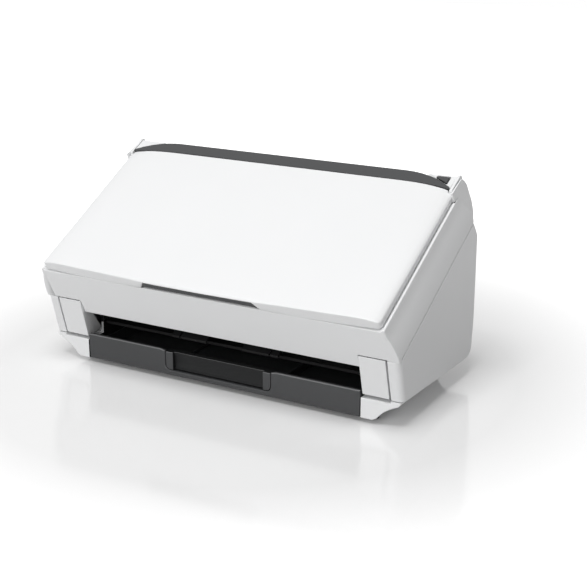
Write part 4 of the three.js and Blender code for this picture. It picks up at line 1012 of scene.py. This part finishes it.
# %% Grooved and ribbed tyres
TYRE_SIDES = 48
TYRE_BANDS = 11
GROOVE_DEPTH = 0.5 * MM
FEED_SIDES = 72
FEED_GROOVE_DEPTH = 0.6 * MM
SIDE_ANGLE = 360 / FEED_SIDES
for node in ("drive_tyre_left", "drive_tyre_right", "exit_tyre_left", "exit_tyre_right"):
    middle, size = box_of(node)
    tyre = ring_blank(node + "_grooved", middle, size.z / 2, size.x, TYRE_SIDES)
    for step in range(1, TYRE_BANDS):
        split_at(tyre, (middle.x - size.x / 2 + size.x * step / TYRE_BANDS, 0, 0), ALONG_X)
    band = size.x / TYRE_BANDS
    sunk = sink_bands(tyre, middle, size.z / 2,
                      lambda offset: int((offset.x + size.x / 2) / band) % 2 == 1, GROOVE_DEPTH)
    finish_ring(tyre, node)
    print("  grooves from", sunk, "faces")


def every_third_side(offset):
    angle = math.degrees(math.atan2(offset.z, offset.y))
    return round(angle / SIDE_ANGLE - 0.5) % 3 == 0


middle, size = box_of("feed_tyre")
feed_tyre = ring_blank("feed_tyre_ribbed", middle, size.z / 2, size.x, FEED_SIDES)
sunk = sink_bands(feed_tyre, middle, size.z / 2, every_third_side, FEED_GROOVE_DEPTH)
finish_ring(feed_tyre, "feed_tyre")
print("  ribs between", sunk, "sunk sides")

# %% [markdown]
# ## Buttons
# The two buttons sit in the panel under the lid. A fingertip finds them by their shallow
# dish, so the top face of each is inset and pressed in step by step before its rim is
# rounded.

# %% Buttons
UP_FROM_LID = Vector((0, -LID_SIN, LID_COS))
DISH_STEPS = ((0.6, 0), (0.7, 0.3), (1.2, 0.2), (1.6, 0.1))
SAME_LEVEL = 0.01 * MM
for node in ("scan_button", "power_button"):
    button = shell_copy(node, node + "_dished")
    tops = [face for face in button.data.polygons if face.normal.dot(UP_FROM_LID) > FACING]
    highest = max(face.center.dot(UP_FROM_LID) for face in tops)
    found = pick(button, "FACE", lambda face: face.normal.dot(UP_FROM_LID) > FACING
                 and face.center.dot(UP_FROM_LID) > highest - SAME_LEVEL)
    inset_steps(DISH_STEPS, -UP_FROM_LID)
    round_all(button, 0.3 * MM, 3)
    finish_piece(button, node)
    print("  top faces:", found)

# %% [markdown]
# ## Rubber feet
# Four soft feet stand under the pan. The underside of each is hollowed, so that only a
# ring touches the table, and the rim is rounded where the mould closes.

# %% Feet
HOLLOW_STEPS = ((0.9, 0), (0.2, 0.6), (0.5, 0.2))
for node in ("foot_front_left", "foot_front_right", "foot_rear_left", "foot_rear_right"):
    foot = shell_copy(node, node + "_hollowed")
    found = pick(foot, "FACE", lambda face: face.normal.z < -FACING)
    inset_steps(HOLLOW_STEPS, Vector(ALONG_Z))
    round_all(foot, 0.3 * MM, 3, above=50)
    finish_piece(foot, node)
    print("  undersides:", found)

# %% [markdown]
# ## Idler rollers
# The idlers on the front unit press the sheet against the tyres. They are plain plastic
# drums with a recess in each end, which keeps the wall even so that it doesn't shrink.

# %% Idlers
RECESS_STEPS = ((0.8, 1.2),)
AXLE_END = 0.5 * MM
for node in ("drive_idler_left", "drive_idler_right", "exit_idler_left", "exit_idler_right"):
    drum = shell_copy(node, node + "_drum")
    middle, size = box_of(node)
    least_area = (max(size.y, size.z) / 2) ** 2
    recesses = 0
    for end in (-1, 1):
        found = pick(drum, "FACE", lambda face: end * face.normal.x > FACING and face.area > least_area
                     and abs((face.center - middle).x) < size.x / 2 - AXLE_END)
        if found:
            inset_steps(RECESS_STEPS, Vector((-end, 0, 0)))
        recesses += found
    round_all(drum, 0.25 * MM, 2)
    finish_piece(drum, node)
    print("  recesses:", recesses)

# %% [markdown]
# ## Motor
# The motor is a drawn steel can with a rolled groove near each end and a stepped end cap.
# Each groove is a thin band of the can's side, cut free with two planes and sunk.

# %% Motor
GROOVE_SHARES = (0.2, 0.62)
CAN_GROOVE_WIDTH = 2.2 * MM
CAN_GROOVE_DEPTH = 0.5 * MM
CAP_STEPS = ((1.2, 0), (0.4, 0.5))
LEAST_CAP_AREA = 200 * MM * MM
motor = shell_copy("motor", "motor_can")
middle, size = box_of("motor")
for share in GROOVE_SHARES:
    start = middle.x + size.x * (share - 0.5)
    groove = sink_ring(motor, middle, start, start + CAN_GROOVE_WIDTH, size.z * SKIN_SHARE,
                       CAN_GROOVE_DEPTH)
    print("motor groove faces:", groove)
for end in (-1, 1):
    cap = pick(motor, "FACE", lambda face: face.normal.x * end > FACING and face.area > LEAST_CAP_AREA)
    inset_steps(CAP_STEPS, Vector((-end, 0, 0)))
    print("motor cap faces:", cap)
round_edges(motor, 0.2 * MM, segments=2)
finish_piece(motor, "motor")

# %% [markdown]
# ## The room
# The machine stands in an even, bright room that gives most of the light. A room bright
# enough to look white would light the machine too much, so the world is white only to the
# camera and in reflections, and dimmer as a light.


# %% World
def camera_like_rays(tree):
    """1 where a ray comes from the camera or through a reflection or glass."""
    path = add_node(tree, "LightPath")
    first = add_node(tree, "Math", operation="MAXIMUM")
    second = add_node(tree, "Math", operation="MAXIMUM")
    tree.links.new(path.outputs["Is Camera Ray"], first.inputs[0])
    tree.links.new(path.outputs["Is Glossy Ray"], first.inputs[1])
    tree.links.new(first.outputs[0], second.inputs[0])
    tree.links.new(path.outputs["Is Transmission Ray"], second.inputs[1])
    return second.outputs[0]


WORLD_LIGHT = 0.27
WHITE = (1, 1, 1, 1)
world = bpy.data.worlds.new("studio")
bpy.context.scene.world = world
world.use_nodes = True
tree = world.node_tree
tree.nodes.clear()
room = add_node(tree, "Background", Color=WHITE, Strength=WORLD_LIGHT)
backdrop = add_node(tree, "Background", Color=WHITE, Strength=1.0)
mix = tree.nodes.new("ShaderNodeMixShader")
output = tree.nodes.new("ShaderNodeOutputWorld")
tree.links.new(camera_like_rays(tree), mix.inputs[0])
tree.links.new(room.outputs[0], mix.inputs[1])
tree.links.new(backdrop.outputs[0], mix.inputs[2])
tree.links.new(mix.outputs[0], output.inputs["Surface"])
print("world light:", WORLD_LIGHT)

# %% [markdown]
# ## The table
# The table is plain, white and a little glossy. It shows white to the camera, and a glow
# that grows with the distance lets it fade into the backdrop without an edge. It passes on
# less light than it shows, so the sides of the machine stay a shade darker than the lid,
# and the shadow under the machine still falls on it.

# %% Floor
FLOOR_SIZE = 6
FADE_FROM = 0.2
FADE_TO = 0.5
GLOW_NEAR = 0.04
GLOW_FAR = 0.8
bpy.ops.object.select_all(action="DESELECT")
bpy.ops.mesh.primitive_plane_add(size=FLOOR_SIZE, location=(0, 0, 0))
floor = bpy.context.object
floor.name = "floor"
table, tree, shader, place = new_material("white_table")
shader.inputs["Base Color"].default_value = (0.5, 0.5, 0.5, 1)
shader.inputs["Roughness"].default_value = 0.22
shader.inputs["Specular IOR Level"].default_value = 0.3
seen = tree.nodes.new("ShaderNodeBsdfPrincipled")
seen.inputs["Base Color"].default_value = (0.9, 0.9, 0.9, 1)
seen.inputs["Roughness"].default_value = 0.13
seen.inputs["Specular IOR Level"].default_value = 0.8
glow = add_node(tree, "Emission", Color=WHITE)
away = add_node(tree, "VectorMath", operation="LENGTH")
fade = add_node(tree, "MapRange", From_Min=FADE_FROM, From_Max=FADE_TO, To_Min=GLOW_NEAR, To_Max=GLOW_FAR)
both = tree.nodes.new("ShaderNodeAddShader")
choose = tree.nodes.new("ShaderNodeMixShader")
link = tree.links.new
link(place.outputs["Object"], away.inputs[0])
link(away.outputs["Value"], fade.inputs["Value"])
link(fade.outputs["Result"], glow.inputs["Strength"])
link(seen.outputs[0], both.inputs[0])
link(glow.outputs[0], both.inputs[1])
link(camera_like_rays(tree), choose.inputs[0])
link(shader.outputs[0], choose.inputs[1])
link(both.outputs[0], choose.inputs[2])
link(choose.outputs[0], tree.nodes["Material Output"].inputs["Surface"])
floor.data.materials.append(table)
print("floor fades from", FADE_FROM, "to", FADE_TO, "m")

# %% [markdown]
# ## The softboxes
# One large softbox above the front lifts the sloping lid, and a second one low in front
# fills the fascia and the drawer. Both are big and far, so their shadows stay soft.


# %% Softboxes
def softbox(name, place, target, size, power):
    """A square area light that faces a point."""
    bpy.ops.object.select_all(action="DESELECT")
    aim = (Vector(target) - Vector(place)).to_track_quat("-Z", "Y").to_euler()
    bpy.ops.object.light_add(type="AREA", location=place, rotation=aim)
    light = bpy.context.object
    light.name = name
    light.data.size = size
    light.data.energy = power
    print(name, "power:", power)


softbox("key_softbox", place=(0.08, -0.55, 1.6), target=(0, 0, 0.08), size=0.8, power=15.2)
softbox("front_fill", place=(-0.1, -1.5, 0.45), target=(0, 0, 0.06), size=1.0, power=10)
